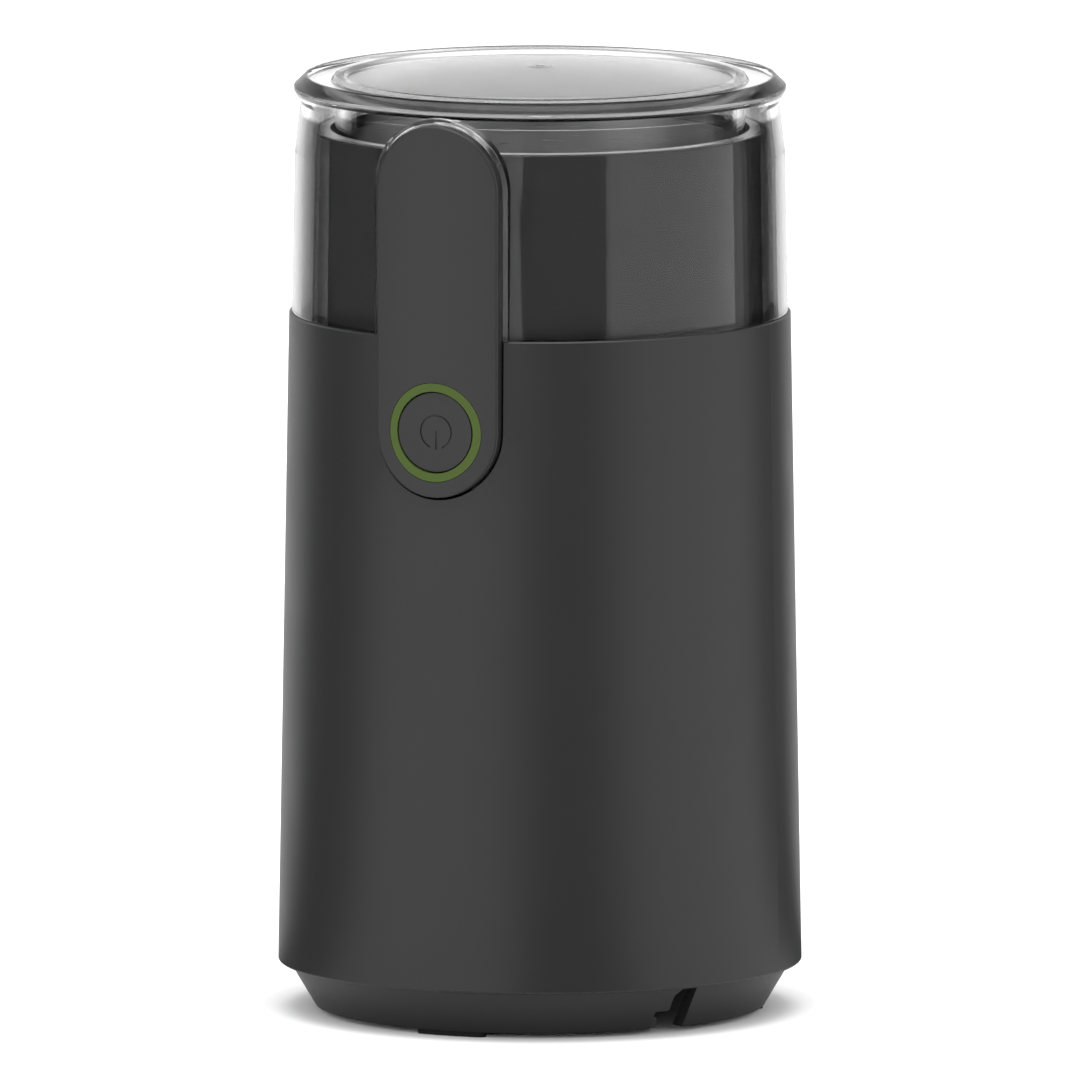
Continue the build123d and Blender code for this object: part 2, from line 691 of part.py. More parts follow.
def lid_section():
    """Half section of the clear lid: wall, rolled flange, channel, ring, domed disc and skirt."""
    plate_low_z = lid_channel_z - lid_plate_t
    flange_lean = lid_flange_w / (lid_flange_low_z - lid_groove_z)
    corner_r = lid_groove_r - lid_wall + flange_lean * (plate_low_z - lid_groove_z)
    crown_h = lid_crown_z - lid_channel_z
    dome_r = (lid_disc_r ** 2 + crown_h ** 2) / (2 * crown_h)
    half_drop = dome_r - sqrt(dome_r ** 2 - (lid_disc_r / 2) ** 2)
    with BuildSketch(Plane.XZ) as face:
        with BuildLine():
            Line((lid_low_r, lid_low_z), (lid_shoulder_r, lid_shoulder_z))
            ThreePointArc(
                (lid_shoulder_r, lid_shoulder_z),
                (lid_turn_r, lid_turn_z),
                (lid_groove_r, lid_groove_z),
            )
            Polyline(
                (lid_groove_r, lid_groove_z),
                (lid_flange_r, lid_flange_low_z),
                (lid_flange_r, lid_flange_top_z),
                (lid_rim_r + lid_land, lid_rim_z),
                (lid_rim_r, lid_rim_z),
                (lid_rim_r - lid_draft, lid_channel_z),
                (lid_ring_r + lid_draft, lid_channel_z),
                (lid_ring_r, lid_ring_z),
                (lid_ring_inner_r, lid_ring_z),
                (lid_ring_inner_r - lid_draft, lid_channel_z),
                (lid_disc_r, lid_channel_z),
            )
            ThreePointArc(
                (lid_disc_r, lid_channel_z),
                (lid_disc_r / 2, lid_crown_z - half_drop),
                (0, lid_crown_z),
            )
            Line((0, lid_crown_z), (0, lid_crown_z - lid_plate_t))
            ThreePointArc(
                (0, lid_crown_z - lid_plate_t),
                (lid_disc_r / 2, lid_crown_z - half_drop - lid_plate_t),
                (lid_disc_r, plate_low_z),
            )
            Polyline(
                (lid_disc_r, plate_low_z),
                (lid_ring_inner_r, plate_low_z - lid_root),
                (lid_ring_inner_r, lid_skirt_z),
                (lid_ring_r, lid_skirt_z),
                (lid_ring_r, plate_low_z - lid_root),
                (lid_ring_r + lid_root, plate_low_z),
                (corner_r, plate_low_z),
                (lid_groove_r - lid_wall, lid_groove_z),
            )
            ThreePointArc(
                (lid_groove_r - lid_wall, lid_groove_z),
                (lid_turn_r - lid_wall, lid_turn_z),
                (lid_shoulder_r - lid_wall, lid_shoulder_z),
            )
            Line((lid_shoulder_r - lid_wall, lid_shoulder_z), (lid_low_r - lid_wall, lid_low_z))
            Line((lid_low_r - lid_wall, lid_low_z), (lid_low_r, lid_low_z))
        make_face()
    return face.sketch


# Clear lid: one moulding with an arch-shaped cut-out for the switch panel
bead_part = lid_bead()
arch_in_r = pad_inner_r - moving_gap
with BuildPart() as lid_cover:
    revolve(lid_section(), axis=Axis.Z)
    rim_edges = lid_cover.edges().filter_by(GeomType.CIRCLE).filter_by(
        lambda edge: edge.radius > lid_groove_r + lid_flange_w / 2 and edge.center().Z > lid_groove_z
    )
    fillet(rim_edges, radius=lid_edge_round)
    add(bead_part)
    add(pill_block(moving_gap, arch_in_r, 2 * bead_r, whole_low_z, whole_high_z), mode=Mode.SUBTRACT)
    with BuildSketch(Plane.XY.offset(lid_crown_z - gate_depth)):
        Circle(gate_r)
        Circle(gate_r / 3, mode=Mode.SUBTRACT)
    extrude(amount=2 * gate_depth, mode=Mode.SUBTRACT)
lid_cover.part.label = "lid_cover"
export_step(lid_cover.part, "parts/lid_cover.step")

# Grinding bowl, drawn from thin stainless sheet, its lip let into the collar's top
bowl_draft = 1.9
bowl_corner_r = 8.0
bowl_hole_r = 6.0
gasket_t = 1.0
gasket_w = 5.5
bowl_lip_r = bowl_seat_r - flat_gap
bowl_top_r = neck_top_r - neck_wall - bowl_gap
bowl_low_r = bowl_top_r - bowl_draft
bowl_low_z = deck_top_z + gasket_t
bowl_lip_z = neck_top_z - bowl_t
corner_in = (1 - sqrt(0.5)) * bowl_corner_r
corner_thin = sqrt(0.5) * bowl_t
floor_edge_r = bowl_low_r - bowl_corner_r
with BuildPart() as grinding_bowl:
    with BuildSketch(Plane.XZ):
        with BuildLine():
            Line((bowl_hole_r, bowl_low_z), (floor_edge_r, bowl_low_z))
            ThreePointArc(
                (floor_edge_r, bowl_low_z),
                (bowl_low_r - corner_in, bowl_low_z + corner_in),
                (bowl_low_r, bowl_low_z + bowl_corner_r),
            )
            Polyline(
                (bowl_low_r, bowl_low_z + bowl_corner_r),
                (bowl_top_r, bowl_lip_z),
                (bowl_lip_r, bowl_lip_z),
                (bowl_lip_r, neck_top_z),
                (bowl_top_r - bowl_t, neck_top_z),
                (bowl_low_r - bowl_t, bowl_low_z + bowl_corner_r),
            )
            ThreePointArc(
                (bowl_low_r - bowl_t, bowl_low_z + bowl_corner_r),
                (bowl_low_r - corner_in - corner_thin, bowl_low_z + corner_in + corner_thin),
                (floor_edge_r, bowl_low_z + bowl_t),
            )
            Polyline(
                (floor_edge_r, bowl_low_z + bowl_t),
                (bowl_hole_r, bowl_low_z + bowl_t),
                (bowl_hole_r, bowl_low_z),
            )
        make_face()
    revolve(axis=Axis.Z)
grinding_bowl.part.label = "grinding_bowl"
export_step(grinding_bowl.part, "parts/grinding_bowl.step")

with BuildPart() as bowl_gasket:
    add(ring_of(floor_edge_r - gasket_w, floor_edge_r, deck_top_z, bowl_low_z))
bowl_gasket.part.label = "bowl_gasket"
export_step(bowl_gasket.part, "parts/bowl_gasket.step")

seal_lip_h = 2.2
seal_lip_w = 2.5
seal_lip_t = 1.0
hub_wall = 2.0
seal_top_z = bowl_low_z + bowl_t + seal_lip_h
with BuildPart() as shaft_seal:
    revolve(section([
        (shaft_r + bush_gap, deck_low_z),
        (bowl_hole_r - flat_gap, deck_low_z),
        (bowl_hole_r - flat_gap, bowl_low_z + bowl_t),
        (bowl_hole_r + seal_lip_w, bowl_low_z + bowl_t),
        (bowl_hole_r + seal_lip_w, bowl_low_z + bowl_t + seal_lip_t),
        (shaft_r + hub_wall, seal_top_z),
        (shaft_r + bush_gap, seal_top_z),
    ]), axis=Axis.Z)
shaft_seal.part.label = "shaft_seal"
export_step(shaft_seal.part, "parts/shaft_seal.step")

# Blade set on the motor shaft
blade_hub_h = 4.0
blade_t = 1.5
blade_span = 54.0
blade_w = 11.0
blade_flat = 24.0
blade_lift = 3.5
cap_h = 4.5
cap_wall = 2.5
press_gap = 0.02
hub_low_z = seal_top_z + fit_gap
blade_low_z = hub_low_z + blade_hub_h
blade_top_z = blade_low_z + blade_t
shaft_top_z = blade_top_z + cap_h / 2
with BuildPart() as blade_hub:
    revolve(section([
        (shaft_r + press_gap, hub_low_z),
        (shaft_r + hub_wall, hub_low_z),
        (shaft_r + 1.5 * hub_wall, blade_low_z),
        (shaft_r + press_gap, blade_low_z),
    ]), axis=Axis.Z)
blade_hub.part.label = "blade_hub"
export_step(blade_hub.part, "parts/blade_hub.step")

with BuildPart() as grinding_blade:
    with BuildSketch(Plane.XZ.offset(-blade_w / 2)):
        with BuildLine():
            Polyline(
                (-blade_span / 2, blade_low_z + blade_lift),
                (-blade_flat / 2, blade_low_z),
                (blade_flat / 2, blade_low_z),
                (blade_span / 2, blade_low_z + blade_lift),
                (blade_span / 2, blade_top_z + blade_lift),
                (blade_flat / 2, blade_top_z),
                (-blade_flat / 2, blade_top_z),
                (-blade_span / 2, blade_top_z + blade_lift),
                close=True,
            )
        make_face()
    extrude(amount=blade_w)
    with BuildSketch(Plane.XY.offset(blade_low_z - blade_t)):
        SlotOverall(blade_span, blade_w)
        Circle(shaft_r + press_gap, mode=Mode.SUBTRACT)
    extrude(amount=blade_lift + 3 * blade_t, mode=Mode.INTERSECT)
grinding_blade.part.label = "grinding_blade"
export_step(grinding_blade.part, "parts/grinding_blade.step")

with BuildPart() as blade_cap:
    revolve(section([
        (shaft_r + press_gap, blade_top_z),
        (shaft_r + cap_wall, blade_top_z),
        (shaft_r + cap_wall, blade_top_z + cap_h / 2),
        (shaft_r, blade_top_z + cap_h),
        (0, blade_top_z + cap_h),
        (0, shaft_top_z + press_gap),
        (shaft_r + press_gap, shaft_top_z + press_gap),
    ]), axis=Axis.Z)
blade_cap.part.label = "blade_cap"
export_step(blade_cap.part, "parts/blade_cap.step")

# Base cover: sloping skirt, plug into the housing, roof, and the hub that the lead winds round
store_hub_low_z = foot_proud + hub_lift
hub_bore_r = hub_r - base_wall - panel_gap
rim_in_r = base_low_r - base_rim_w
cushion_top_z = lower_bar_low_z
cushion_low_z = cushion_top_z - cushion_h
foot_slot = rim_in_r + base_rim_w / 2
foot_angles = [360 / foot_count * number - 90 for number in range(foot_count)]
grommet_place = (
    grommet_r * sin(radians(cord_angle)),
    -grommet_r * cos(radians(cord_angle)),
)
with BuildPart() as base_cover:
    revolve(section([
        (rim_in_r, foot_proud),
        (base_low_r, foot_proud),
        (base_ledge_r, cone_top_z),
        (base_plug_r, cone_top_z),
        (base_plug_r, cone_top_z + base_plug_h),
        (base_skirt_r, cone_top_z + base_plug_h),
        (base_skirt_r, base_roof_top_z),
        (0, base_roof_top_z),
        (0, base_roof_low_z),
        (base_skirt_r - base_wall, base_roof_low_z),
        (base_skirt_r - base_wall, cone_top_z + base_plug_h - base_wall),
        (base_plug_r - base_wall, cone_top_z + base_plug_h - base_wall),
        (base_plug_r - base_wall, cone_top_z - base_wall / 2),
    ]), axis=Axis.Z)
    with BuildSketch(Plane.XY.offset(store_hub_low_z)):
        Circle(hub_r)
    extrude(amount=base_roof_top_z - store_hub_low_z)
    with BuildSketch(Plane.XY.offset(store_hub_low_z + hub_floor_h)):
        Circle(hub_bore_r)
        Circle(pedestal_r, mode=Mode.SUBTRACT)
    extrude(amount=base_roof_top_z - store_hub_low_z, mode=Mode.SUBTRACT)
    with BuildSketch(Plane.XY.offset(store_hub_low_z)):
        Circle(pedestal_r)
    extrude(amount=cushion_low_z - store_hub_low_z)
    with BuildSketch(Plane.XY.offset(store_hub_low_z + hub_floor_h)):
        Circle(pedestal_r - pedestal_wall)
    extrude(amount=cushion_low_z - store_hub_low_z, mode=Mode.SUBTRACT)
    with BuildSketch(Plane.XY.offset(base_roof_low_z)):
        with Locations(*post_places):
            Circle(screw_r + fit_gap)
        with Locations(grommet_place):
            Circle(cord_hole_r + grommet_wall + flat_gap)
    extrude(amount=base_roof_t, mode=Mode.SUBTRACT)
    notch_plane = Plane(
        origin=(0, 0, 0),
        x_dir=(cos(radians(cord_angle)), sin(radians(cord_angle)), 0),
        z_dir=(sin(radians(cord_angle)), -cos(radians(cord_angle)), 0),
    )
    with BuildSketch(notch_plane.offset(rim_in_r - base_rim_w)):
        with BuildLine():
            Polyline(
                (notch_w / 2, foot_proud),
                (notch_w / 2, cone_top_z),
                (notch_chamfer_w - notch_w / 2, cone_top_z),
                (-notch_w / 2, cone_top_z - notch_chamfer_h),
                (-notch_w / 2, foot_proud),
                close=True,
            )
        make_face()
    extrude(amount=base_ledge_r, mode=Mode.SUBTRACT)
    with BuildSketch(notch_plane.offset(base_low_r - relief_depth)):
        with Locations((-(notch_w + relief_w) / 2, foot_proud + relief_h / 2)):
            Rectangle(relief_w, relief_h)
    extrude(amount=base_ledge_r, mode=Mode.SUBTRACT)
    for foot_angle in foot_angles:
        with BuildSketch(Plane.XY.offset(foot_proud)):
            with Locations(Rotation(0, 0, foot_angle)):
                SlotArc(
                    CenterArc((0, 0), foot_slot, -foot_half_angle, 2 * foot_half_angle),
                    foot_w + flat_gap,
                )
        extrude(amount=foot_sink, mode=Mode.SUBTRACT)
base_cover.part.label = "base_cover"
export_step(base_cover.part, "parts/base_cover.step")

# Rubber feet, set into the rim of the base
for foot_number, foot_angle in enumerate(foot_angles, start=1):
    with BuildPart() as foot:
        with BuildSketch(Plane.XY):
            with Locations(Rotation(0, 0, foot_angle)):
                SlotArc(
                    CenterArc((0, 0), foot_slot, -foot_half_angle, 2 * foot_half_angle),
                    foot_w,
                )
        extrude(amount=foot_proud + foot_sink)
    foot_name = f"foot_{foot_number}"
    foot.part.label = foot_name
    export_step(foot.part, f"parts/{foot_name}.step")

# Bush that the mains lead comes in through
with BuildPart() as cord_grommet:
    with BuildSketch(Plane.XY.offset(base_roof_low_z - grommet_flange)):
        with Locations(grommet_place):
            Circle(cord_hole_r + grommet_wall + grommet_flange)
    extrude(amount=grommet_flange)
    with BuildSketch(Plane.XY.offset(base_roof_low_z)):
        with Locations(grommet_place):
            Circle(cord_hole_r + grommet_wall)
    extrude(amount=base_roof_t)
    with BuildSketch(Plane.XY.offset(base_roof_top_z)):
        with Locations(grommet_place):
            Circle(cord_hole_r + grommet_wall + grommet_flange)
    extrude(amount=grommet_flange)
    with BuildSketch(Plane.XY.offset(base_roof_low_z - grommet_flange)):
        with Locations(grommet_place):
            Circle(cord_hole_r)
    extrude(amount=base_roof_t + 2 * grommet_flange, mode=Mode.SUBTRACT)
cord_grommet.part.label = "cord_grommet"
export_step(cord_grommet.part, "parts/cord_grommet.step")

with BuildPart() as base_screws:
    with BuildSketch(Plane.XY.offset(base_roof_low_z - screw_head_t)):
        with Locations(*post_places):
            Circle(screw_head_r)
    extrude(amount=screw_head_t)
    with BuildSketch(Plane.XY.offset(base_roof_low_z)):
        with Locations(*post_places):
            Circle(screw_r - bush_gap)
    extrude(amount=base_roof_t + screw_bite)
base_screws.part.label = "base_screws"
export_step(base_screws.part, "parts/base_screws.step")

# Stator: laminated frame with two poles, one field coil round each
pole_half = 8.0
shoe_t = 2.5
shoe_half_angle = 55.0
frame_round = 4.0
coil_side = 6.0
bolt_r = 1.3
bolt_in = 2.7
bore_r = armature_r + air_gap
window_x = stator_x / 2 - yoke_t
window_y = stator_y / 2 - yoke_t / 2
leg_half_y = bridge_bar_y / 2
bolt_x = stator_x / 2 - yoke_t / 2
bolt_y = leg_half_y - bolt_in
bolt_places = [(x, y) for x in (-bolt_x, bolt_x) for y in (-bolt_y, bolt_y)]
with BuildPart() as stator_core:
    with BuildSketch(Plane.XY.offset(core_low_z)):
        RectangleRounded(stator_x, stator_y, frame_round)
        RectangleRounded(2 * window_x, 2 * window_y, 0.75 * frame_round, mode=Mode.SUBTRACT)
        with Locations(((window_x + bore_r) / 2, 0), (-(window_x + bore_r) / 2, 0)):
            Rectangle(window_x - bore_r + shoe_t / 2, 2 * pole_half)
        for shoe_angle in (0, 180):
            with BuildLine():
                CenterArc((0, 0), bore_r + shoe_t, shoe_angle - shoe_half_angle, 2 * shoe_half_angle)
                CenterArc((0, 0), bore_r, shoe_angle - shoe_half_angle, 2 * shoe_half_angle)
                for edge_angle in (shoe_angle - shoe_half_angle, shoe_angle + shoe_half_angle):
                    turn = radians(edge_angle)
                    Line(
                        (bore_r * cos(turn), bore_r * sin(turn)),
                        ((bore_r + shoe_t) * cos(turn), (bore_r + shoe_t) * sin(turn)),
                    )
            make_face()
        Circle(bore_r, mode=Mode.SUBTRACT)
        with Locations(*bolt_places):
            Circle(bolt_r + flat_gap, mode=Mode.SUBTRACT)
    extrude(amount=core_h)
stator_core.part.label = "stator_core"
export_step(stator_core.part, "parts/stator_core.step")

coil_in_x = bore_r + shoe_t + air_gap
coil_out_x = window_x - flat_gap
for side_name, side in (("left", -1), ("right", 1)):
    with BuildPart() as field_coil:
        with BuildSketch(Plane.YZ.offset(side * coil_in_x)):
            with Locations((0, core_low_z + core_h / 2)):
                RectangleRounded(
                    2 * (pole_half + flat_gap + coil_side), core_h + 2 * coil_overhang, coil_side
                )
                Rectangle(2 * (pole_half + flat_gap), core_h + 2 * flat_gap, mode=Mode.SUBTRACT)
        extrude(amount=side * (coil_out_x - coil_in_x))
    field_coil.part.label = f"field_coil_{side_name}"
    export_step(field_coil.part, f"parts/field_coil_{side_name}.step")

# Bearing bridges above and below the stator, their bushes and the bolts through them
washer_t = 0.5
cup_r = bush_r + cup_wall
upper_cup_low_z = bridge_top_z - cup_depth - bush_h
with BuildPart() as upper_bearing_bridge:
    with BuildSketch(Plane.XY.offset(bridge_low_z)):
        Rectangle(stator_x, bridge_bar_y)
    extrude(amount=bridge_t)
    with BuildSketch(Plane.XY.offset(core_top_z)):
        with Locations((bolt_x, 0), (-bolt_x, 0)):
            Rectangle(yoke_t, bridge_bar_y)
    extrude(amount=bridge_low_z - core_top_z)
    with BuildSketch(Plane.XY.offset(upper_cup_low_z)):
        Circle(cup_r)
    extrude(amount=bridge_top_z - upper_cup_low_z)
    with BuildSketch(Plane.XY.offset(upper_cup_low_z)):
        Circle(bush_r + bush_gap)
    extrude(amount=bridge_top_z - upper_cup_low_z, mode=Mode.SUBTRACT)
    with BuildSketch(Plane.XY.offset(core_top_z)):
        with Locations(*bolt_places):
            Circle(bolt_r + flat_gap)
        with Locations((motor_screw_x, 0), (-motor_screw_x, 0)):
            Circle(screw_r)
    extrude(amount=bridge_top_z - core_top_z, mode=Mode.SUBTRACT)
upper_bearing_bridge.part.label = "upper_bearing_bridge"
export_step(upper_bearing_bridge.part, "parts/upper_bearing_bridge.step")

thrust_t = 1.0
holder_half_y = 5.5
holder_half_z = 5.5
lower_bush_low_z = lower_bar_low_z + thrust_t
lower_bush_top_z = lower_bush_low_z + bush_h
with BuildPart() as lower_bearing_bridge:
    with BuildSketch(Plane.XY.offset(lower_bar_low_z)):
        Rectangle(stator_x, bridge_bar_y)
    extrude(amount=lower_bar_top_z - lower_bar_low_z)
    with BuildSketch(Plane.XY.offset(lower_bar_top_z)):
        with Locations((bolt_x, 0), (-bolt_x, 0)):
            Rectangle(yoke_t, bridge_bar_y)
    extrude(amount=core_low_z - lower_bar_top_z)
    with BuildSketch(Plane.XY.offset(lower_bar_low_z)):
        Circle(cup_r)
    extrude(amount=lower_bush_top_z - lower_bar_low_z)
    with BuildSketch(Plane.XY.offset(lower_bush_low_z)):
        Circle(bush_r + bush_gap)
    extrude(amount=bush_h, mode=Mode.SUBTRACT)
    with BuildSketch(Plane.XY.offset(lower_bar_low_z)):
        with Locations(*bolt_places):
            Circle(bolt_r)
    extrude(amount=core_low_z - lower_bar_low_z, mode=Mode.SUBTRACT)
    with BuildSketch(Plane.YZ.offset(-stator_x / 2)):
        with Locations((0, brush_z)):
            Rectangle(2 * holder_half_y, 2 * holder_half_z)
    extrude(amount=stator_x, mode=Mode.SUBTRACT)
lower_bearing_bridge.part.label = "lower_bearing_bridge"
export_step(lower_bearing_bridge.part, "parts/lower_bearing_bridge.step")

bush_chamfer = 1.0
for bush_name, bush_low_z in (
    ("upper_bearing", upper_cup_low_z),
    ("lower_bearing", lower_bush_low_z),
):
    with BuildPart() as bush:
        revolve(section([
            (shaft_r + bush_gap, bush_low_z),
            (bush_r - bush_chamfer, bush_low_z),
            (bush_r, bush_low_z + bush_chamfer),
            (bush_r, bush_low_z + bush_h - bush_chamfer),
            (bush_r - bush_chamfer, bush_low_z + bush_h),
            (shaft_r + bush_gap, bush_low_z + bush_h),
        ]), axis=Axis.Z)
    bush.part.label = bush_name
    export_step(bush.part, f"parts/{bush_name}.step")

bolt_head_r = 2.5
bolt_head_t = 1.5
with BuildPart() as motor_bolts:
    with BuildSketch(Plane.XY.offset(lower_bar_low_z + flat_gap)):
        with Locations(*bolt_places):
            Circle(bolt_r - bush_gap)
    extrude(amount=bridge_top_z - lower_bar_low_z - flat_gap)
    with BuildSketch(Plane.XY.offset(bridge_top_z)):
        with Locations(*bolt_places):
            Circle(bolt_head_r)
    extrude(amount=bolt_head_t)
motor_bolts.part.label = "motor_bolts"
export_step(motor_bolts.part, "parts/motor_bolts.step")

# Rotor: shaft, slotted core, windings and commutator
shaft_chamfer = 0.5
slot_count = 12
slot_r = 1.8
slot_lip = 1.0
slot_mouth = 0.8
shaft_low_z = lower_bush_low_z + moving_gap
slot_pitch_r = armature_r - slot_r - slot_lip
with BuildPart() as motor_shaft:
    with BuildSketch(Plane.XY.offset(shaft_low_z)):
        Circle(shaft_r)
    extrude(amount=shaft_top_z - shaft_low_z)
    chamfer(motor_shaft.edges().group_by(Axis.Z)[0], length=shaft_chamfer)
motor_shaft.part.label = "motor_shaft"
export_step(motor_shaft.part, "parts/motor_shaft.step")

with BuildPart() as armature_core:
    with BuildSketch(Plane.XY.offset(core_low_z)):
        Circle(armature_r)
        Circle(shaft_r + press_gap, mode=Mode.SUBTRACT)
        with PolarLocations(slot_pitch_r, slot_count):
            Circle(slot_r, mode=Mode.SUBTRACT)
        with PolarLocations(slot_pitch_r + slot_r, slot_count):
            Rectangle(2 * slot_r, slot_mouth, mode=Mode.SUBTRACT)
    extrude(amount=core_h)
armature_core.part.label = "armature_core"
export_step(armature_core.part, "parts/armature_core.step")

winding_h = 5.0
winding_core_t = 3.0
winding_out_r = slot_pitch_r + slot_r + flat_gap
winding_in_r = shaft_r + winding_core_t
with BuildPart() as armature_windings:
    for low_z in (core_low_z - winding_h, core_top_z):
        with BuildSketch(Plane.XY.offset(low_z)):
            Circle(winding_out_r)
            Circle(winding_in_r, mode=Mode.SUBTRACT)
        extrude(amount=winding_h)
    end_edges = armature_windings.edges().filter_by(GeomType.CIRCLE).filter_by(
        lambda edge: edge.radius > winding_in_r + slot_r
        and abs(edge.center().Z - (core_low_z + core_top_z) / 2) > core_h / 2 + winding_h / 2
    )
    fillet(end_edges, radius=0.4 * winding_h)
    with BuildSketch(Plane.XY.offset(core_low_z)):
        with PolarLocations(slot_pitch_r, slot_count):
            Circle(slot_r - flat_gap)
    extrude(amount=core_h)
armature_windings.part.label = "armature_windings"
export_step(armature_windings.part, "parts/armature_windings.step")

commutator_slit = 0.4
commutator_slit_depth = 1.0
with BuildPart() as commutator:
    with BuildSketch(Plane.XY.offset(commutator_low_z)):
        Circle(commutator_r)
        Circle(shaft_r + press_gap, mode=Mode.SUBTRACT)
        with PolarLocations(commutator_r, slot_count):
            Rectangle(2 * commutator_slit_depth, commutator_slit, mode=Mode.SUBTRACT)
    extrude(amount=commutator_h)
commutator.part.label = "commutator"
export_step(commutator.part, "parts/commutator.step")

with BuildPart() as thrust_washers:
    for low_z in (
        upper_cup_low_z - flat_gap - washer_t,
        lower_bush_top_z + flat_gap,
    ):
        add(ring_of(shaft_r + bush_gap, winding_in_r - flat_gap, low_z, low_z + washer_t))
thrust_washers.part.label = "thrust_washers"
export_step(thrust_washers.part, "parts/thrust_washers.step")

# Brush gear: a holder, a carbon brush and a spring on each side of the commutator
brush_l = 12.0
brush_y = 5.0
brush_h = 8.0
brush_gap = 0.1
holder_stand = 2.0
holder_proud = 4.0
holder_cap = 1.5
tag_l = 4.0
tag_t = 0.8
brush_coil_r = 1.9
holder_in_x = commutator_r + holder_stand
holder_out_x = stator_x / 2 + holder_proud
brush_in_x = commutator_r + brush_gap
brush_out_x = brush_in_x + brush_l
brush_spring_l = holder_out_x - holder_cap - brush_out_x - bush_gap
brush_spring_part = coil(brush_coil_r, coil_wire_r, brush_spring_l, 6)
for side_name, side, turn in (("left", -1, 180), ("right", 1, 0)):
    with BuildPart() as brush_holder:
        with BuildSketch(Plane.YZ.offset(side * holder_in_x)):
            with Locations((0, brush_z)):
                Rectangle(2 * holder_half_y, 2 * holder_half_z)
        extrude(amount=side * (holder_out_x - holder_in_x))
        with BuildSketch(Plane.YZ.offset(side * holder_in_x)):
            with Locations((0, brush_z)):
                Rectangle(brush_y + 2 * brush_gap, brush_h + 2 * brush_gap)
        extrude(amount=side * (holder_out_x - holder_cap - holder_in_x), mode=Mode.SUBTRACT)
        with BuildSketch(Plane.YZ.offset(side * holder_out_x)):
            with Locations((0, brush_z)):
                Rectangle(brush_y - tag_t, tag_t)
        extrude(amount=side * tag_l)
    brush_holder.part.label = f"brush_holder_{side_name}"
    export_step(brush_holder.part, f"parts/brush_holder_{side_name}.step")

    with BuildPart() as carbon_brush:
        with BuildSketch(Plane.YZ.offset(side * shaft_r)):
            with Locations((0, brush_z)):
                Rectangle(brush_y, brush_h)
        extrude(amount=side * (brush_out_x - shaft_r))
        with BuildSketch(Plane.XY.offset(commutator_low_z)):
            Circle(brush_in_x)
        extrude(amount=commutator_h, mode=Mode.SUBTRACT)
    carbon_brush.part.label = f"carbon_brush_{side_name}"
    export_step(carbon_brush.part, f"parts/carbon_brush_{side_name}.step")

    with BuildPart() as brush_spring:
        with Locations(Plane(origin=(side * brush_out_x, 0, brush_z), z_dir=(side, 0, 0))):
            add(brush_spring_part)
    brush_spring.part.label = f"brush_spring_{side_name}"
    export_step(brush_spring.part, f"parts/brush_spring_{side_name}.step")

# Soft mounts: rubber dampers with screws under the deck, and a cushion on the base's pedestal
damper_r = 4.0
with BuildPart() as motor_dampers:
    with BuildSketch(Plane.XY.offset(bridge_top_z)):
        with Locations((motor_screw_x, 0), (-motor_screw_x, 0)):
            Circle(damper_r)
    extrude(amount=damper_h)
    with BuildSketch(Plane.XY.offset(bridge_top_z)):
        with Locations((motor_screw_x, 0), (-motor_screw_x, 0)):
            Circle(screw_r + flat_gap)
    extrude(amount=damper_h, mode=Mode.SUBTRACT)
motor_dampers.part.label = "motor_dampers"
export_step(motor_dampers.part, "parts/motor_dampers.step")

motor_head_low_z = deck_top_z - motor_head_t - flat_gap
with BuildPart() as motor_mount_screws:
    with BuildSketch(Plane.XY.offset(motor_head_low_z)):
        with Locations((motor_screw_x, 0), (-motor_screw_x, 0)):
            Circle(motor_head_r)
    extrude(amount=motor_head_t)
    with BuildSketch(Plane.XY.offset(bridge_low_z)):
        with Locations((motor_screw_x, 0), (-motor_screw_x, 0)):
            Circle(screw_r - bush_gap)
    extrude(amount=motor_head_low_z - bridge_low_z)
motor_mount_screws.part.label = "motor_mount_screws"
export_step(motor_mount_screws.part, "parts/motor_mount_screws.step")

with BuildPart() as motor_cushion:
    with BuildSketch(Plane.XY.offset(cushion_low_z)):
        Circle(pedestal_r)
        Circle(pedestal_r - pedestal_wall, mode=Mode.SUBTRACT)
    extrude(amount=cushion_h)
motor_cushion.part.label = "motor_cushion"
export_step(motor_cushion.part, "parts/motor_cushion.step")

# Interlock: a slider that the lid pushes down, and the switch that its foot holds closed
interlock_spring_h = 4.0
interlock_coil_r = 2.4
plunger_spare = 0.5
switch_top_z = slider_low_z - interlock_spring_h
switch_low_z = switch_top_z - microswitch_h
with BuildPart() as interlock_switch:
    with BuildSketch(Plane.XY.offset(switch_low_z)):
        with Locations((0, interlock_y)):
            Rectangle(microswitch_l, microswitch_d)
    extrude(amount=microswitch_h)
    with BuildSketch(Plane.XY.offset(switch_low_z - terminal_l)):
        with Locations((0, interlock_y)):
            with GridLocations(microswitch_l / 2 - terminal_in, 1, 3, 1):
                Rectangle(terminal_w, terminal_t)
    extrude(amount=terminal_l)
    with BuildSketch(Plane.XY.offset(switch_top_z - plunger_in - plunger_spare)):
        with Locations((0, interlock_y)):
            Circle(plunger_hole_r)
    extrude(amount=plunger_in + plunger_spare, mode=Mode.SUBTRACT)
interlock_switch.part.label = "interlock_switch"
export_step(interlock_switch.part, "parts/interlock_switch.step")

with BuildPart() as interlock_plunger:
    with BuildSketch(Plane.XY.offset(switch_top_z - plunger_in)):
        with Locations((0, interlock_y)):
            Circle(plunger_r)
    extrude(amount=slider_low_z - switch_top_z + plunger_in)
interlock_plunger.part.label = "interlock_plunger"
export_step(interlock_plunger.part, "parts/interlock_plunger.step")

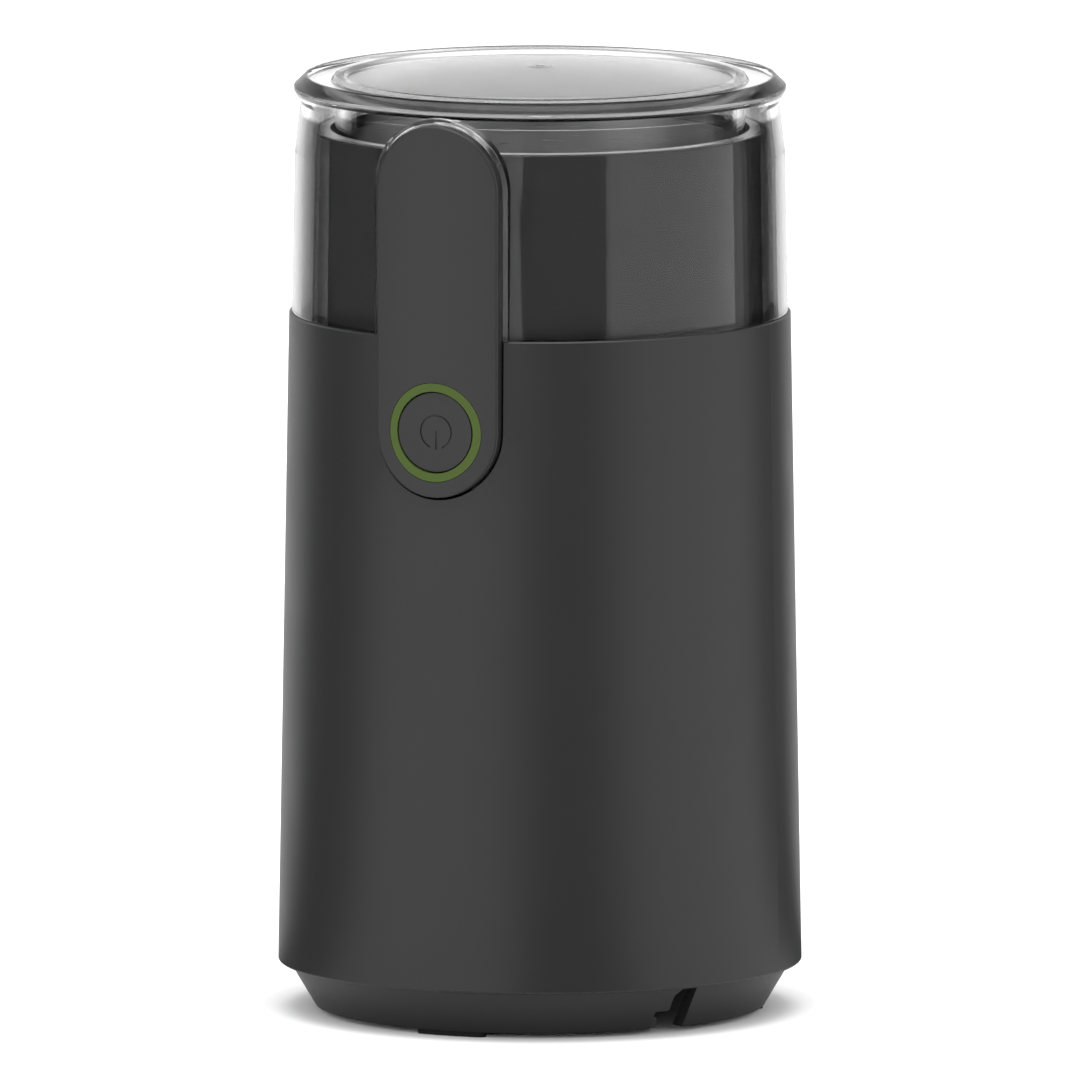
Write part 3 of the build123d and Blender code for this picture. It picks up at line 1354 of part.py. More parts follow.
with BuildPart() as interlock_slider:
    with BuildSketch(Plane.XY.offset(slider_low_z)):
        with Locations((0, slider_in + slider_t / 2)):
            Rectangle(slider_w, slider_t)
    extrude(amount=slider_h)
    with BuildSketch(Plane.XY.offset(slider_low_z)):
        with Locations((0, (slider_foot_in + slider_out) / 2)):
            Rectangle(slider_w, slider_out - slider_foot_in)
    extrude(amount=slider_foot_h)
interlock_slider.part.label = "interlock_slider"
export_step(interlock_slider.part, "parts/interlock_slider.step")

interlock_spring_part = coil(interlock_coil_r, coil_wire_r, interlock_spring_h - bush_gap, 3)
with BuildPart() as interlock_spring:
    with Locations((0, interlock_y, switch_top_z)):
        add(interlock_spring_part)
interlock_spring.part.label = "interlock_spring"
export_step(interlock_spring.part, "parts/interlock_spring.step")
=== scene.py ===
import logging
import math
from dataclasses import dataclass
from enum import Enum

import bpy
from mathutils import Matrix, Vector

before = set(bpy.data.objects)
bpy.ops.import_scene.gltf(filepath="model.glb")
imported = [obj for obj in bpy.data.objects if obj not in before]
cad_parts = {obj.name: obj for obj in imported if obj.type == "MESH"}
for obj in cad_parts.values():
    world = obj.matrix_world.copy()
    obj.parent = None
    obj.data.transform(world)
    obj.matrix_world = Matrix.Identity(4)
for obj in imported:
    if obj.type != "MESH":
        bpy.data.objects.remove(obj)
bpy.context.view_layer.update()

log = logging.getLogger("coffee_grinder")

MM = 0.001
WHITE = "FFFFFF"

# The sRGB curve: a straight foot up to the knee, and a power above it.
SRGB_KNEE = 0.04045
SRGB_FOOT = 12.92
SRGB_SHIFT = 0.055
SRGB_SPAN = 1.055
SRGB_POWER = 2.4

# Blender's Mix node has sockets for each kind of data. These are the numbers of those for colours.
MIX_SHARE = 0
MIX_FROM = 6
MIX_TO = 7
MIX_RESULT = 2


class MarkRun(Enum):
    """Which way the marks of a metal's making run, as the stretch of its noise along X, Y and Z."""

    AROUND = (0.02, 0.02, 1.0)
    ALONG = (0.02, 1.0, 1.0)
    STACKED = (0.05, 0.05, 1.0)


class Seen(Enum):
    """Kinds of ray that a studio cloth is hidden from, by the names of Blender's settings."""

    CAMERA = "visible_camera"
    DIFFUSE = "visible_diffuse"
    SHADOW = "visible_shadow"
    VOLUME = "visible_volume_scatter"


def linear(code: str) -> tuple[float, float, float, float]:
    """Turns an sRGB hex colour into linear light.

    Args:
        code: six hex digits.

    Returns:
        Red, green, blue and an alpha of 1.
    """
    parts = []
    for start in (0, 2, 4):
        value = int(code[start:start + 2], 16) / 255
        if value <= SRGB_KNEE:
            parts.append(value / SRGB_FOOT)
        else:
            parts.append(((value + SRGB_SHIFT) / SRGB_SPAN) ** SRGB_POWER)
    return (parts[0], parts[1], parts[2], 1.0)


def add_node(
    tree: bpy.types.NodeTree,
    kind: str,
    settings: dict[str, object] | None = None,
    values: dict[str | int, object] | None = None,
    links: dict[str | int, bpy.types.NodeSocket] | None = None,
) -> bpy.types.Node:
    """Adds one node to a tree, with its settings, socket values and links.

    Args:
        tree: the node tree.
        kind: the node's type name.
        settings: attributes of the node itself.
        values: input sockets by name or number, with their constant values.
        links: input sockets by name or number, with the output socket that feeds each.

    Returns:
        The new node.
    """
    node = tree.nodes.new(kind)
    for name, value in (settings or {}).items():
        setattr(node, name, value)
    for name, value in (values or {}).items():
        node.inputs[name].default_value = value
    for name, source in (links or {}).items():
        tree.links.new(source, node.inputs[name])
    return node


def new_material(name: str) -> tuple[bpy.types.Material, bpy.types.NodeTree]:
    """Makes an empty node material.

    Args:
        name: the material's name.

    Returns:
        The material and its cleared node tree.
    """
    material = bpy.data.materials.new(name)
    material.use_nodes = True
    material.node_tree.nodes.clear()
    return material, material.node_tree


@dataclass(frozen=True)
class Finish:
    """A finish of the grinder's own, built as a node material when the first piece takes it."""

    name: str

    def surface(self, tree: bpy.types.NodeTree) -> bpy.types.NodeSocket:
        """Builds the finish's nodes.

        Args:
            tree: the material's node tree.

        Returns:
            The shader that the surface shows.
        """
        raise NotImplementedError

    def material(self) -> bpy.types.Material:
        """Finds the finish's material, and builds it the first time.

        Returns:
            The material.
        """
        known = bpy.data.materials.get(self.name)
        if known is not None:
            return known
        material, tree = new_material(self.name)
        add_node(tree, "ShaderNodeOutputMaterial", links={"Surface": self.surface(tree)})
        return material

    def dress(self, node: str) -> None:
        """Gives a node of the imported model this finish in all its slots.

        Args:
            node: the node's name.
        """
        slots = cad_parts[node].data.materials
        for number in range(len(slots)):
            slots[number] = self.material()
        if not slots:
            slots.append(self.material())


@dataclass(frozen=True)
class MouldedPlastic(Finish):
    """Opaque moulded plastic or rubber with the grain of its tool.

    The grain is a noise bump, at half a millimetre coarser than a real tool's, so that it shows. A
    slower noise varies the roughness, as on a handled moulding. Each noise has a detail, the number of
    finer layers in it, and a break, how strongly these count.
    """

    colour: str
    roughness: float = 0.5
    roughness_swing: float = 0.05
    specular: float = 0.4
    ior: float = 1.5
    grain_mm: float = 0.5
    grain_height_mm: float = 0.01
    grain_strength: float = 0.3
    grain_detail: float = 2.0
    grain_break: float = 0.6
    mottle_mm: float = 18.0
    mottle_detail: float = 3.0
    mottle_break: float = 0.55

    def surface(self, tree: bpy.types.NodeTree) -> bpy.types.NodeSocket:
        """Builds the moulding's nodes.

        Args:
            tree: the material's node tree.

        Returns:
            The shader that the surface shows.
        """
        place = add_node(tree, "ShaderNodeTexCoord").outputs["Object"]
        mottle = add_node(
            tree, "ShaderNodeTexNoise",
            values={
                "Scale": 1 / (self.mottle_mm * MM),
                "Detail": self.mottle_detail,
                "Roughness": self.mottle_break,
            },
            links={"Vector": place},
        )
        rough = add_node(
            tree, "ShaderNodeMapRange",
            values={
                "To Min": self.roughness - self.roughness_swing,
                "To Max": self.roughness + self.roughness_swing,
            },
            links={"Value": mottle.outputs["Fac"]},
        )
        grain = add_node(
            tree, "ShaderNodeTexNoise",
            values={
                "Scale": 1 / (self.grain_mm * MM),
                "Detail": self.grain_detail,
                "Roughness": self.grain_break,
            },
            links={"Vector": place},
        )
        bump = add_node(
            tree, "ShaderNodeBump",
            values={"Strength": self.grain_strength, "Distance": self.grain_height_mm * MM},
            links={"Height": grain.outputs["Fac"]},
        )
        shader = add_node(
            tree, "ShaderNodeBsdfPrincipled",
            values={
                "Base Color": linear(self.colour),
                "IOR": self.ior,
                "Specular IOR Level": self.specular,
            },
            links={"Roughness": rough.outputs["Result"], "Normal": bump.outputs["Normal"]},
        )
        return shader.outputs["BSDF"]


@dataclass(frozen=True)
class Zone:
    """A region of a clear moulding between two radii and two levels, with tones and polish of its own.

    The tones are at shares from 0, where the surface is seen face-on, to 1, where it is seen on edge.
    The radii and levels that aren't given reach past the whole grinder.
    """

    tones: tuple[tuple[float, str], ...]
    roughness: float
    inner_mm: float = -1.0
    outer_mm: float = 60.0
    low_mm: float = -1.0
    high_mm: float = 200.0
    soft_mm: float = 0.3

    def mask(
        self, tree: bpy.types.NodeTree, reach: bpy.types.NodeSocket, height: bpy.types.NodeSocket
    ) -> bpy.types.NodeSocket:
        """Builds the zone's mask.

        Args:
            tree: the material's node tree.
            reach: distance from the grinder's axis, in metres.
            height: height above the table, in metres.

        Returns:
            1 in the zone, fading to 0 outside its edges.
        """
        edges = [
            (reach, self.inner_mm - self.soft_mm, self.inner_mm),
            (reach, self.outer_mm + self.soft_mm, self.outer_mm),
            (height, self.low_mm - self.soft_mm, self.low_mm),
            (height, self.high_mm + self.soft_mm, self.high_mm),
        ]
        masks = [
            add_node(
                tree, "ShaderNodeMapRange",
                values={"From Min": outside * MM, "From Max": inside * MM}, links={"Value": source},
            ).outputs["Result"]
            for source, outside, inside in edges
        ]
        whole = masks[0]
        for mask in masks[1:]:
            whole = add_node(
                tree, "ShaderNodeMath", {"operation": "MULTIPLY"}, links={0: whole, 1: mask}
            ).outputs["Value"]
        return whole

    def tint_and_painted_shade(self, tree: bpy.types.NodeTree, facing: bpy.types.NodeSocket) -> bpy.types.NodeSocket:
        """Builds the zone's tones: the disc's tint, and the painted shade and painted reflection of the
        flange and wall.

        Args:
            tree: the material's node tree.
            facing: 0 where the surface is seen face-on, 1 where it is seen on edge.

        Returns:
            The zone's colour, tint and painted shade alike.
        """
        ramp = add_node(tree, "ShaderNodeValToRGB", links={"Fac": facing})
        steps = ramp.color_ramp.elements
        steps.remove(steps[1])
        (steps[0].position, tone), *others = self.tones
        steps[0].color = linear(tone)
        for position, tone in others:
            steps.new(position).color = linear(tone)
        return ramp.outputs["Color"]


@dataclass(frozen=True)
class ClearPlastic(Finish):
    """Clear polished plastic, with zones of other tones and polish. On the lid, the disc's zone is a tint,
    and those of the flange and wall are painted shade and painted reflection.

    The index is low because the lid's solid has sharp steps where the real moulding is eased: at the
    plastic's own 1.57, they throw back so much light that the collar behind them doesn't show.
    """

    colour: str
    zones: tuple[Zone, ...]
    roughness: float = 0.03
    ior: float = 1.15
    facing_blend: float = 0.5

    def surface(self, tree: bpy.types.NodeTree) -> bpy.types.NodeSocket:
        """Builds the clear moulding's nodes, each zone laid over those before it.

        Args:
            tree: the material's node tree.

        Returns:
            The shader that the surface shows.
        """
        place = add_node(tree, "ShaderNodeTexCoord").outputs["Object"]
        parts = add_node(tree, "ShaderNodeSeparateXYZ", links={"Vector": place})
        flat = add_node(
            tree, "ShaderNodeCombineXYZ", links={"X": parts.outputs["X"], "Y": parts.outputs["Y"]}
        )
        reach = add_node(
            tree, "ShaderNodeVectorMath", {"operation": "LENGTH"}, links={0: flat.outputs["Vector"]}
        ).outputs["Value"]
        facing = add_node(
            tree, "ShaderNodeLayerWeight", values={"Blend": self.facing_blend}
        ).outputs["Facing"]
        colour_below: dict[str | int, bpy.types.NodeSocket] = {}
        rough_below: dict[str | int, bpy.types.NodeSocket] = {}
        shown: dict[str | int, bpy.types.NodeSocket] = {}
        for zone in self.zones:
            mask = zone.mask(tree, reach, parts.outputs["Z"])
            colour = add_node(
                tree, "ShaderNodeMix", {"data_type": "RGBA"},
                values={MIX_FROM: linear(self.colour)},
                links={MIX_SHARE: mask, MIX_TO: zone.tint_and_painted_shade(tree, facing), **colour_below},
            ).outputs[MIX_RESULT]
            rough = add_node(
                tree, "ShaderNodeMapRange",
                values={"To Min": self.roughness, "To Max": zone.roughness},
                links={"Value": mask, **rough_below},
            ).outputs["Result"]
            colour_below = {MIX_FROM: colour}
            rough_below = {"To Min": rough}
            shown = {"Base Color": colour, "Roughness": rough}
        shader = add_node(
            tree, "ShaderNodeBsdfPrincipled",
            values={"IOR": self.ior, "Transmission Weight": 1.0}, links=shown,
        )
        return shader.outputs["BSDF"]


@dataclass(frozen=True)
class WorkedMetal(Finish):
    """Metal with the fine marks of its making: spun, ground, stacked in sheets, or wound.

    A third of a millimetre between marks is coarser than real scratches are, so that they show. The
    detail is the number of finer layers in their noise, and the break is how strongly these count.
    """

    colour: str
    roughness: float = 0.3
    roughness_swing: float = 0.1
    mark_mm: float = 0.35
    mark_height_mm: float = 0.006
    mark_strength: float = 0.4
    mark_detail: float = 3.0
    mark_break: float = 0.7
    run: MarkRun = MarkRun.AROUND

    def surface(self, tree: bpy.types.NodeTree) -> bpy.types.NodeSocket:
        """Builds the metal's nodes.

        Args:
            tree: the material's node tree.

        Returns:
            The shader that the surface shows.
        """
        place = add_node(tree, "ShaderNodeTexCoord").outputs["Object"]
        squeeze = add_node(
            tree, "ShaderNodeMapping",
            values={"Scale": tuple(part / (self.mark_mm * MM) for part in self.run.value)},
            links={"Vector": place},
        )
        marks = add_node(
            tree, "ShaderNodeTexNoise",
            values={"Scale": 1.0, "Detail": self.mark_detail, "Roughness": self.mark_break},
            links={"Vector": squeeze.outputs["Vector"]},
        )
        rough = add_node(
            tree, "ShaderNodeMapRange",
            values={
                "To Min": self.roughness - self.roughness_swing,
                "To Max": self.roughness + self.roughness_swing,
            },
            links={"Value": marks.outputs["Fac"]},
        )
        bump = add_node(
            tree, "ShaderNodeBump",
            values={"Strength": self.mark_strength, "Distance": self.mark_height_mm * MM},
            links={"Height": marks.outputs["Fac"]},
        )
        shader = add_node(
            tree, "ShaderNodeBsdfPrincipled",
            values={"Base Color": linear(self.colour), "Metallic": 1.0},
            links={"Roughness": rough.outputs["Result"], "Normal": bump.outputs["Normal"]},
        )
        return shader.outputs["BSDF"]


# ABS, moulded in a fine spark-eroded tool: a soft dark grey that mirrors the room only as broad bands.
HOUSING_ABS = MouldedPlastic("abs_fine_grain_black", "2D2D2E", roughness=0.4)
# ABS, moulded in a smoother tool: the panel and button are a touch lighter and silkier.
PANEL_ABS = MouldedPlastic("abs_silk_black", "2E2E2F", roughness=0.38, grain_strength=0.15)
# ABS from a polished tool face: the collar mirrors the room in bands with crisp edges.
COLLAR_ABS = MouldedPlastic(
    "abs_polished_black", "3C3C3D", roughness=0.06, roughness_swing=0.01, specular=0.35, grain_strength=0.02
)
# Moulded rubber: dull and nearly black.
FOOT_RUBBER = MouldedPlastic("rubber_moulded_black", "1C1C1C", roughness=0.8, grain_mm=0.3)
# Acrylic light guide, dyed green and unlit, with a satin face: a quiet olive ring.
GUIDE_ACRYLIC = MouldedPlastic(
    "acrylic_satin_green", "4C5F2A", roughness=0.35, specular=0.2, grain_strength=0.05
)
# Nylon, natural, moulded: the inner carriers and slider, a dull warm grey.
NYLON = MouldedPlastic("nylon_natural_grey", "9A9A98")
# PBT, moulded: black switch cases with a slight sheen.
SWITCH_PBT = MouldedPlastic("pbt_moulded_black", "1E1E1F", roughness=0.45)
# Carbon, pressed: dull dark grey brushes.
CARBON = MouldedPlastic("carbon_pressed", "242424", roughness=0.6)
# Epoxy board under solder mask: an even glossy green.
BOARD = MouldedPlastic("epoxy_board_green", "1F4A2C", roughness=0.3, grain_strength=0.05)
# Stainless steel, spun and brushed in rings: streaks that run round the bowl.
BOWL_STEEL = WorkedMetal("stainless_spun", "CECECE")
# Stainless steel, ground along the blade: fine scratches that run its length.
BLADE_STEEL = WorkedMetal("stainless_ground", "CFCFCF", roughness=0.25, run=MarkRun.ALONG)
# Carbon steel, ground round the shaft, and drawn for the springs.
SHAFT_STEEL = WorkedMetal("steel_ground", "BDBDBB", roughness=0.28)
# Zinc-plated steel: screws and motor brackets, slightly yellow and dull.
ZINC_STEEL = WorkedMetal("steel_zinc_plated", "B8B9B4", roughness=0.38)
# Varnished steel laminations: dark grey with the stack's fine layer lines.
LAMINATION = WorkedMetal(
    "steel_laminated_varnished", "6A6A6C", roughness=0.5, mark_mm=0.5, run=MarkRun.STACKED
)
# Enamelled copper wire, wound: the wires' own width in lines round the coil.
COPPER = WorkedMetal("copper_enamelled", "B4623A", roughness=0.35, mark_mm=0.6, mark_height_mm=0.05)
# Sintered bronze: dull yellow-brown bushes and washers.
BRONZE = WorkedMetal("bronze_sintered", "A9824A", roughness=0.45)


class SubAssembly:
    """A group of the grinder's pieces that is dressed together."""

    def finishes(self) -> dict[str, Finish]:
        """Names each piece of the group with its finish.

        Returns:
            Finishes by the names of their nodes.
        """
        raise NotImplementedError

    def dress(self) -> None:
        """Gives each piece its finish and reports it."""
        for node, finish in self.finishes().items():
            finish.dress(node)
            log.info("%s: %s in %s", type(self).__name__, node, finish.name)


@dataclass
class Body(SubAssembly):
    """Tapered housing, base with its cord store, feet, and the bush for the lead."""

    feet: int = 3

    def finishes(self) -> dict[str, Finish]:
        """Names each piece of the body with its finish.

        Returns:
            Finishes by the names of their nodes.
        """
        pieces = {
            "outer_housing": HOUSING_ABS,
            "base_cover": HOUSING_ABS,
            "cord_grommet": FOOT_RUBBER,
            "base_screws": ZINC_STEEL,
        }
        pieces.update({f"foot_{number + 1}": FOOT_RUBBER for number in range(self.feet)})
        return pieces


@dataclass
class Lid(SubAssembly):
    """Clear lid: satin disc, rolled flange with painted shade, and a polished wall round the collar with a
    painted reflection of the collar.
    """

    clear: str = "F9F9F9"
    top_mm: float = 172.8
    disc_r_mm: float = 36.7
    disc_rough: float = 0.35
    disc_tones: tuple[tuple[float, str], ...] = ((0.0, "E9E9E9"),)
    flange_in_mm: float = 43.4
    flange_out_mm: float = 45.8
    flange_soft_mm: float = 0.15
    flange_rough: float = 0.2
    # Painted shade: the dark band the clear flange shows from the front, lighter towards its edge, is
    # painted into its colour.
    flange_painted_shade_tones: tuple[tuple[float, str], ...] = ((0.3, "323232"), (0.6, "6A6A6A"), (0.9, "B0B0B0"))
    wall_top_mm: float = 168.8
    wall_soft_mm: float = 0.8
    wall_rough: float = 0.03
    # Painted reflection: the dark collar's reflection in the clear wall, dark beside the collar and white
    # again at the silhouette, is painted into its colour up to wall_top_mm.
    wall_painted_reflection_tones: tuple[tuple[float, str], ...] = (
        (0.46, "F9F9F9"), (0.56, "707070"), (0.6, "484848"), (0.72, "505050"),
        (0.77, "6C6C6C"), (0.82, "969696"), (0.87, "C8C8C8"), (0.93, "F9F9F9"),
    )

    def finishes(self) -> dict[str, Finish]:
        """Makes the lid's finish from its sizes.

        SAN, moulded in a polished tool: clear, with a disc that is satin inside, a flange made dark from
        the front by painted shade, and a wall greyed towards its silhouette beside the collar by a painted
        reflection of the dark collar.

        Returns:
            The lid's finish by the name of its node.
        """
        wall = Zone(self.wall_painted_reflection_tones, self.wall_rough, high_mm=self.wall_top_mm, soft_mm=self.wall_soft_mm)
        disc = Zone(self.disc_tones, self.disc_rough, outer_mm=self.disc_r_mm, low_mm=self.top_mm)
        flange = Zone(
            self.flange_painted_shade_tones, self.flange_rough, inner_mm=self.flange_in_mm,
            outer_mm=self.flange_out_mm, low_mm=self.top_mm, soft_mm=self.flange_soft_mm,
        )
        return {"lid_cover": ClearPlastic("san_polished_clear", self.clear, (wall, disc, flange))}


@dataclass
class Bowl(SubAssembly):
    """Collar, steel bowl, seals and blade."""

    def finishes(self) -> dict[str, Finish]:
        """Names each piece of the bowl with its finish.

        Returns:
            Finishes by the names of their nodes.
        """
        return {
            "bowl_chassis": COLLAR_ABS,
            "grinding_bowl": BOWL_STEEL,
            "bowl_gasket": FOOT_RUBBER,
            "shaft_seal": FOOT_RUBBER,
            "blade_hub": BLADE_STEEL,
            "grinding_blade": BLADE_STEEL,
            "blade_cap": BLADE_STEEL,
        }


@dataclass
class SwitchGroup(SubAssembly):
    """Pill-shaped panel with the light ring, the button and what stands behind them."""

    def finishes(self) -> dict[str, Finish]:
        """Names each piece of the switch group with its finish.

        Returns:
            Finishes by the names of their nodes.
        """
        return {
            "switch_panel": PANEL_ABS,
            "push_button": PANEL_ABS,
            "light_ring": GUIDE_ACRYLIC,
            "light_board": BOARD,
            "switch_carrier": NYLON,
            "carrier_screws": ZINC_STEEL,
            "panel_screws": ZINC_STEEL,
            "power_switch": SWITCH_PBT,
            "power_switch_plunger": NYLON,
            "button_spring": SHAFT_STEEL,
        }


@dataclass
class Interlock(SubAssembly):
    """Slider that the lid pushes, with its switch and spring."""

    def finishes(self) -> dict[str, Finish]:
        """Names each piece of the interlock with its finish.

        Returns:
            Finishes by the names of their nodes.
        """
        return {
            "interlock_slider": NYLON,
            "interlock_plunger": NYLON,
            "interlock_switch": SWITCH_PBT,
            "interlock_spring": SHAFT_STEEL,
        }


@dataclass
class Motor(SubAssembly):
    """Series motor with its brushes, bearings and mounts."""

    sides: tuple[str, str] = ("left", "right")

    def finishes(self) -> dict[str, Finish]:
        """Names each piece of the motor with its finish.

        Returns:
            Finishes by the names of their nodes.
        """
        pieces = {
            "stator_core": LAMINATION,
            "armature_core": LAMINATION,
            "armature_windings": COPPER,
            "commutator": COPPER,
            "upper_bearing_bridge": ZINC_STEEL,
            "lower_bearing_bridge": ZINC_STEEL,
            "upper_bearing": BRONZE,
            "lower_bearing": BRONZE,
            "thrust_washers": BRONZE,
            "motor_bolts": ZINC_STEEL,
            "motor_mount_screws": ZINC_STEEL,
            "motor_shaft": SHAFT_STEEL,
            "motor_dampers": FOOT_RUBBER,
            "motor_cushion": FOOT_RUBBER,
        }
        for side in self.sides:
            pieces[f"field_coil_{side}"] = COPPER
            pieces[f"brush_holder_{side}"] = NYLON
            pieces[f"carbon_brush_{side}"] = CARBON
            pieces[f"brush_spring_{side}"] = SHAFT_STEEL
        return pieces


@dataclass(frozen=True)
class Cloth:
    """A black cloth of the studio, between two angles to the right of the camera, in degrees."""

    name: str
    start: float
    end: float


@dataclass
class Studio:
    """Camera, white room, pale floor, top soft box and black cloths, set out as for a catalogue shot.

    Angles are in degrees and the soft box's power is in watts.
    """

    azimuth: float = 24.1
    elevation: float = 7.67
    frame_mm: float = 201.98
    lens_mm: float = 1700.0
    sensor_mm: float = 36.0
    aim_z_mm: float = 88.2
    clip_m: tuple[float, float] = (0.1, 100.0)
    floor_m: float = 30.0
    room_light: float = 1.0
    paper_colour: str = "EBEBEB"
    paper_roughness: float = 0.6
    paper_glow: float = 0.42
    glow_from_m: float = 0.036
    glow_full_m: float = 0.062
    box_rise: float = 80.0
    box_away_m: float = 1.6
    box_side_m: float = 1.2
    box_power: float = 14.0
    cloth_colour: str = "1A1A1A"
    mirrored_over_depth: float = 0.5
    cloth_outline_m: tuple[tuple[float, float], ...] = ((0.06, 0.002), (0.5, 0.002), (0.5, 0.7))
    cloth_steps: int = 24
    cloths: tuple[Cloth, ...] = (
        Cloth("cloth_left", -128.0, -79.0),
        Cloth("cloth_middle", -8.0, 32.0),
        Cloth("cloth_right", 110.0, 142.0),
    )

    def place(self, height: float, distance: float) -> Vector:
        """Finds a place in the camera's own direction.

        Args:
            height: angle above the floor, in degrees.
            distance: distance from the aim point, in metres.

        Returns:
            The place in the grinder's frame.
        """
        turn = math.radians(self.azimuth)
        rise = math.radians(height)
        return Vector((
            distance * math.sin(turn) * math.cos(rise),
            -distance * math.cos(turn) * math.cos(rise),
            distance * math.sin(rise) + self.aim_z_mm * MM,
        ))

    def stand(self, name: str, data: bpy.types.ID, height: float, distance: float) -> bpy.types.Object:
        """Stands a camera or lamp in the camera's direction and turns it to the grinder.

        Args:
            name: the object's name.
            data: the camera or lamp.
            height: angle above the floor, in degrees.
            distance: distance from the aim point, in metres.

        Returns:
            The new object.
        """
        thing = bpy.data.objects.new(name, data)
        bpy.context.collection.objects.link(thing)
        thing.location = self.place(height, distance)
        look = Vector((0.0, 0.0, self.aim_z_mm * MM)) - thing.location
        thing.rotation_euler = look.to_track_quat("-Z", "Y").to_euler()
        return thing

    def camera(self) -> None:
        """Adds the camera and makes it the scene's own."""
        data = bpy.data.cameras.new("catalogue_camera")
        data.type = "PERSP"
        data.lens = self.lens_mm
        data.sensor_width = self.sensor_mm
        data.clip_start, data.clip_end = self.clip_m
        distance = self.frame_mm * MM * self.lens_mm / self.sensor_mm
        bpy.context.scene.camera = self.stand("catalogue_camera", data, self.elevation, distance)

    def softbox(self) -> None:
        """Adds the soft box above the grinder."""
        data = bpy.data.lights.new("softbox_top", "AREA")
        data.shape = "SQUARE"
        data.size = self.box_side_m
        data.energy = self.box_power
        self.stand("softbox_top", data, self.box_rise, self.box_away_m)

    def room(self) -> None:
        """Sets a plain white room."""
        world = bpy.data.worlds.new("white_room")
        world.use_nodes = True
        tree = world.node_tree
        tree.nodes.clear()
        white = add_node(
            tree, "ShaderNodeBackground", values={"Color": linear(WHITE), "Strength": self.room_light}
        )
        add_node(tree, "ShaderNodeOutputWorld", links={"Surface": white.outputs["Background"]})
        bpy.context.scene.world = world

    def stage_piece(
        self, name: str, points: list[tuple[float, float, float]], faces: list[tuple[int, ...]],
        material: bpy.types.Material,
    ) -> bpy.types.Object:
        """Adds one piece of the studio that isn't part of the grinder.

        Args:
            name: the piece's name.
            points: its corners, in metres.
            faces: its faces, as numbers of corners.
            material: its material.

        Returns:
            The new object.
        """
        mesh = bpy.data.meshes.new(name)
        mesh.from_pydata(points, [], faces)
        mesh.materials.append(material)
        piece = bpy.data.objects.new(name, mesh)
        bpy.context.collection.objects.link(piece)
        return piece

    def floor(self) -> None:
        """Adds the floor of matt white paper: white to the camera, with the grinder's shadow kept.

        The paper glows only where the camera sees it, directly or through the lid, and only away from
        the grinder's foot, so it adds no light to the object and the shadow stays.
        """
        material, tree = new_material("paper_matt_white")
        rays = add_node(tree, "ShaderNodeLightPath")
        paper = add_node(
            tree, "ShaderNodeBsdfDiffuse",
            values={"Color": linear(self.paper_colour), "Roughness": self.paper_roughness},
        )
        place = add_node(tree, "ShaderNodeTexCoord")
        reach = add_node(
            tree, "ShaderNodeVectorMath", {"operation": "LENGTH"}, links={0: place.outputs["Object"]}
        )
        glow = add_node(
            tree, "ShaderNodeMapRange", {"interpolation_type": "SMOOTHSTEP"},
            values={
                "From Min": self.glow_from_m,
                "From Max": self.glow_full_m,
                "To Max": self.paper_glow,
            },
            links={"Value": reach.outputs["Value"]},
        )
        lift = add_node(
            tree, "ShaderNodeEmission",
            values={"Color": linear(WHITE)}, links={"Strength": glow.outputs["Result"]},
        )
        bright = add_node(
            tree, "ShaderNodeAddShader", links={0: paper.outputs["BSDF"], 1: lift.outputs["Emission"]}
        )
        seen = add_node(
            tree, "ShaderNodeMath", {"operation": "MAXIMUM"},
            links={0: rays.outputs["Is Camera Ray"], 1: rays.outputs["Is Transmission Ray"]},
        )
        mix = add_node(
            tree, "ShaderNodeMixShader",
            links={"Fac": seen.outputs["Value"], 1: paper.outputs["BSDF"], 2: bright.outputs["Shader"]},
        )
        add_node(tree, "ShaderNodeOutputMaterial", links={"Surface": mix.outputs["Shader"]})
        half = self.floor_m / 2
        corners = [(-half, -half, 0.0), (half, -half, 0.0), (half, half, 0.0), (-half, half, 0.0)]
        self.stage_piece("paper_sweep", corners, [(0, 1, 2, 3)], material)

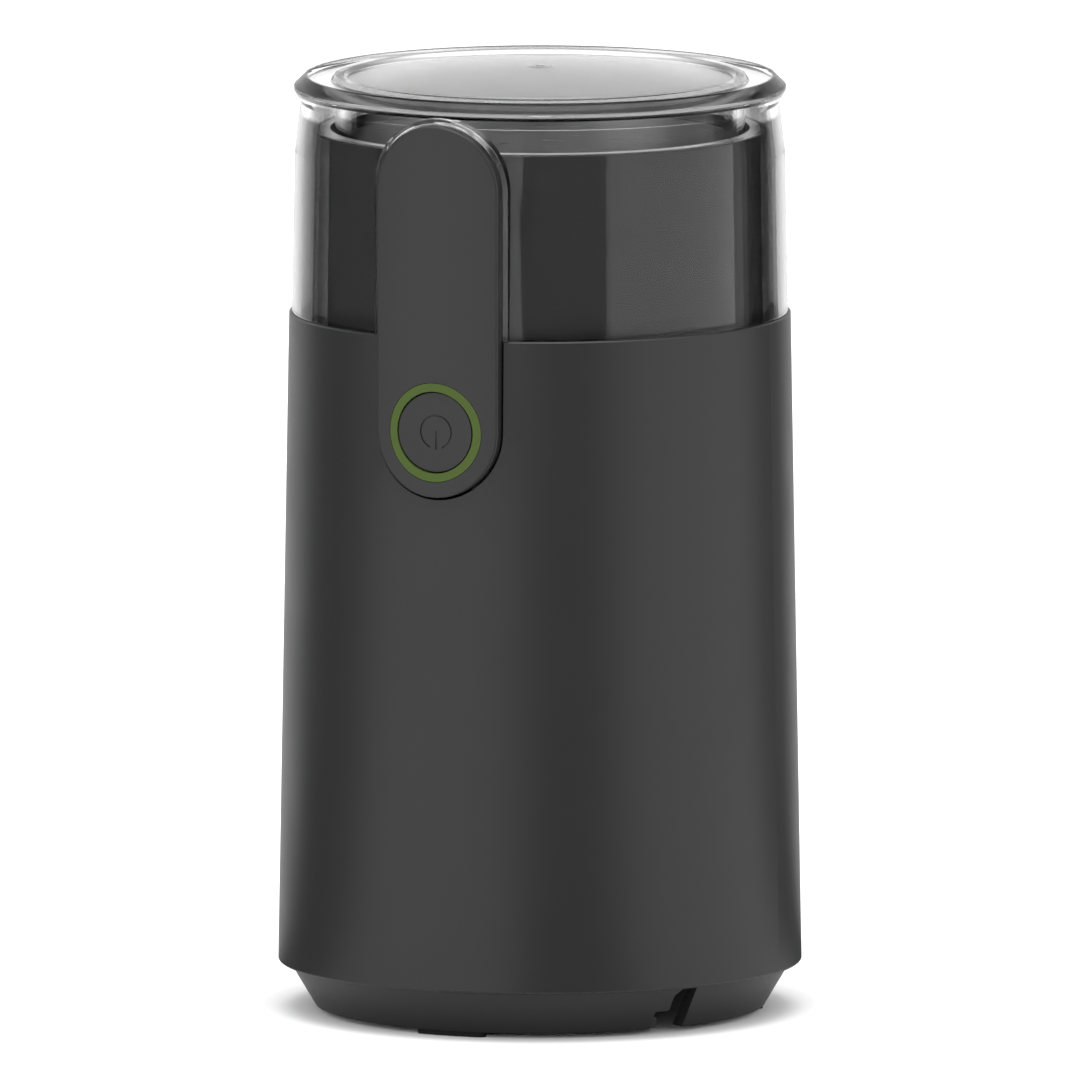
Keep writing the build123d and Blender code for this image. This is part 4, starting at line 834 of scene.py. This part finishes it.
    def cloth_material(self) -> bpy.types.Material:
        """Builds the black cloth, which shows only where a glossy surface mirrors it.

        Returns:
            The cloth's material.
        """
        material, tree = new_material("cloth_felted_black")
        rays = add_node(tree, "ShaderNodeLightPath")
        mirrored = add_node(
            tree, "ShaderNodeMath", {"operation": "GREATER_THAN"},
            values={1: self.mirrored_over_depth}, links={0: rays.outputs["Glossy Depth"]},
        )
        clear = add_node(tree, "ShaderNodeBsdfTransparent")
        felt = add_node(tree, "ShaderNodeBsdfDiffuse", values={"Color": linear(self.cloth_colour)})
        mix = add_node(
            tree, "ShaderNodeMixShader",
            links={"Fac": mirrored.outputs["Value"], 1: clear.outputs["BSDF"], 2: felt.outputs["BSDF"]},
        )
        add_node(tree, "ShaderNodeOutputMaterial", links={"Surface": mix.outputs["Shader"]})
        return material

    def hang(self, cloth: Cloth, material: bpy.types.Material) -> None:
        """Hangs one cloth round the grinder, from the floor up.

        Args:
            cloth: where it hangs.
            material: the cloth's material.
        """
        points = []
        for step in range(self.cloth_steps + 1):
            share = step / self.cloth_steps
            turn = math.radians(self.azimuth + cloth.start + (cloth.end - cloth.start) * share)
            for reach, height in self.cloth_outline_m:
                points.append((reach * math.sin(turn), -reach * math.cos(turn), height))
        wide = len(self.cloth_outline_m)
        corners = [step * wide + row for step in range(self.cloth_steps) for row in range(wide - 1)]
        faces = [(corner, corner + 1, corner + wide + 1, corner + wide) for corner in corners]
        piece = self.stage_piece(cloth.name, points, faces, material)
        for ray in Seen:
            setattr(piece, ray.value, False)

    def build(self) -> None:
        """Sets up the whole studio."""
        bpy.context.scene.view_settings.view_transform = "Standard"
        self.camera()
        self.room()
        self.floor()
        self.softbox()
        material = self.cloth_material()
        for cloth in self.cloths:
            self.hang(cloth, material)
        log.info("studio set, with %d cloths", len(self.cloths))


def main() -> None:
    """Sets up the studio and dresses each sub-assembly."""
    logging.basicConfig(level=logging.INFO, format="%(name)s: %(message)s")
    Studio().build()
    for group in (Body(), Lid(), Bowl(), SwitchGroup(), Interlock(), Motor()):
        group.dress()


if __name__ == "__main__":
    main()
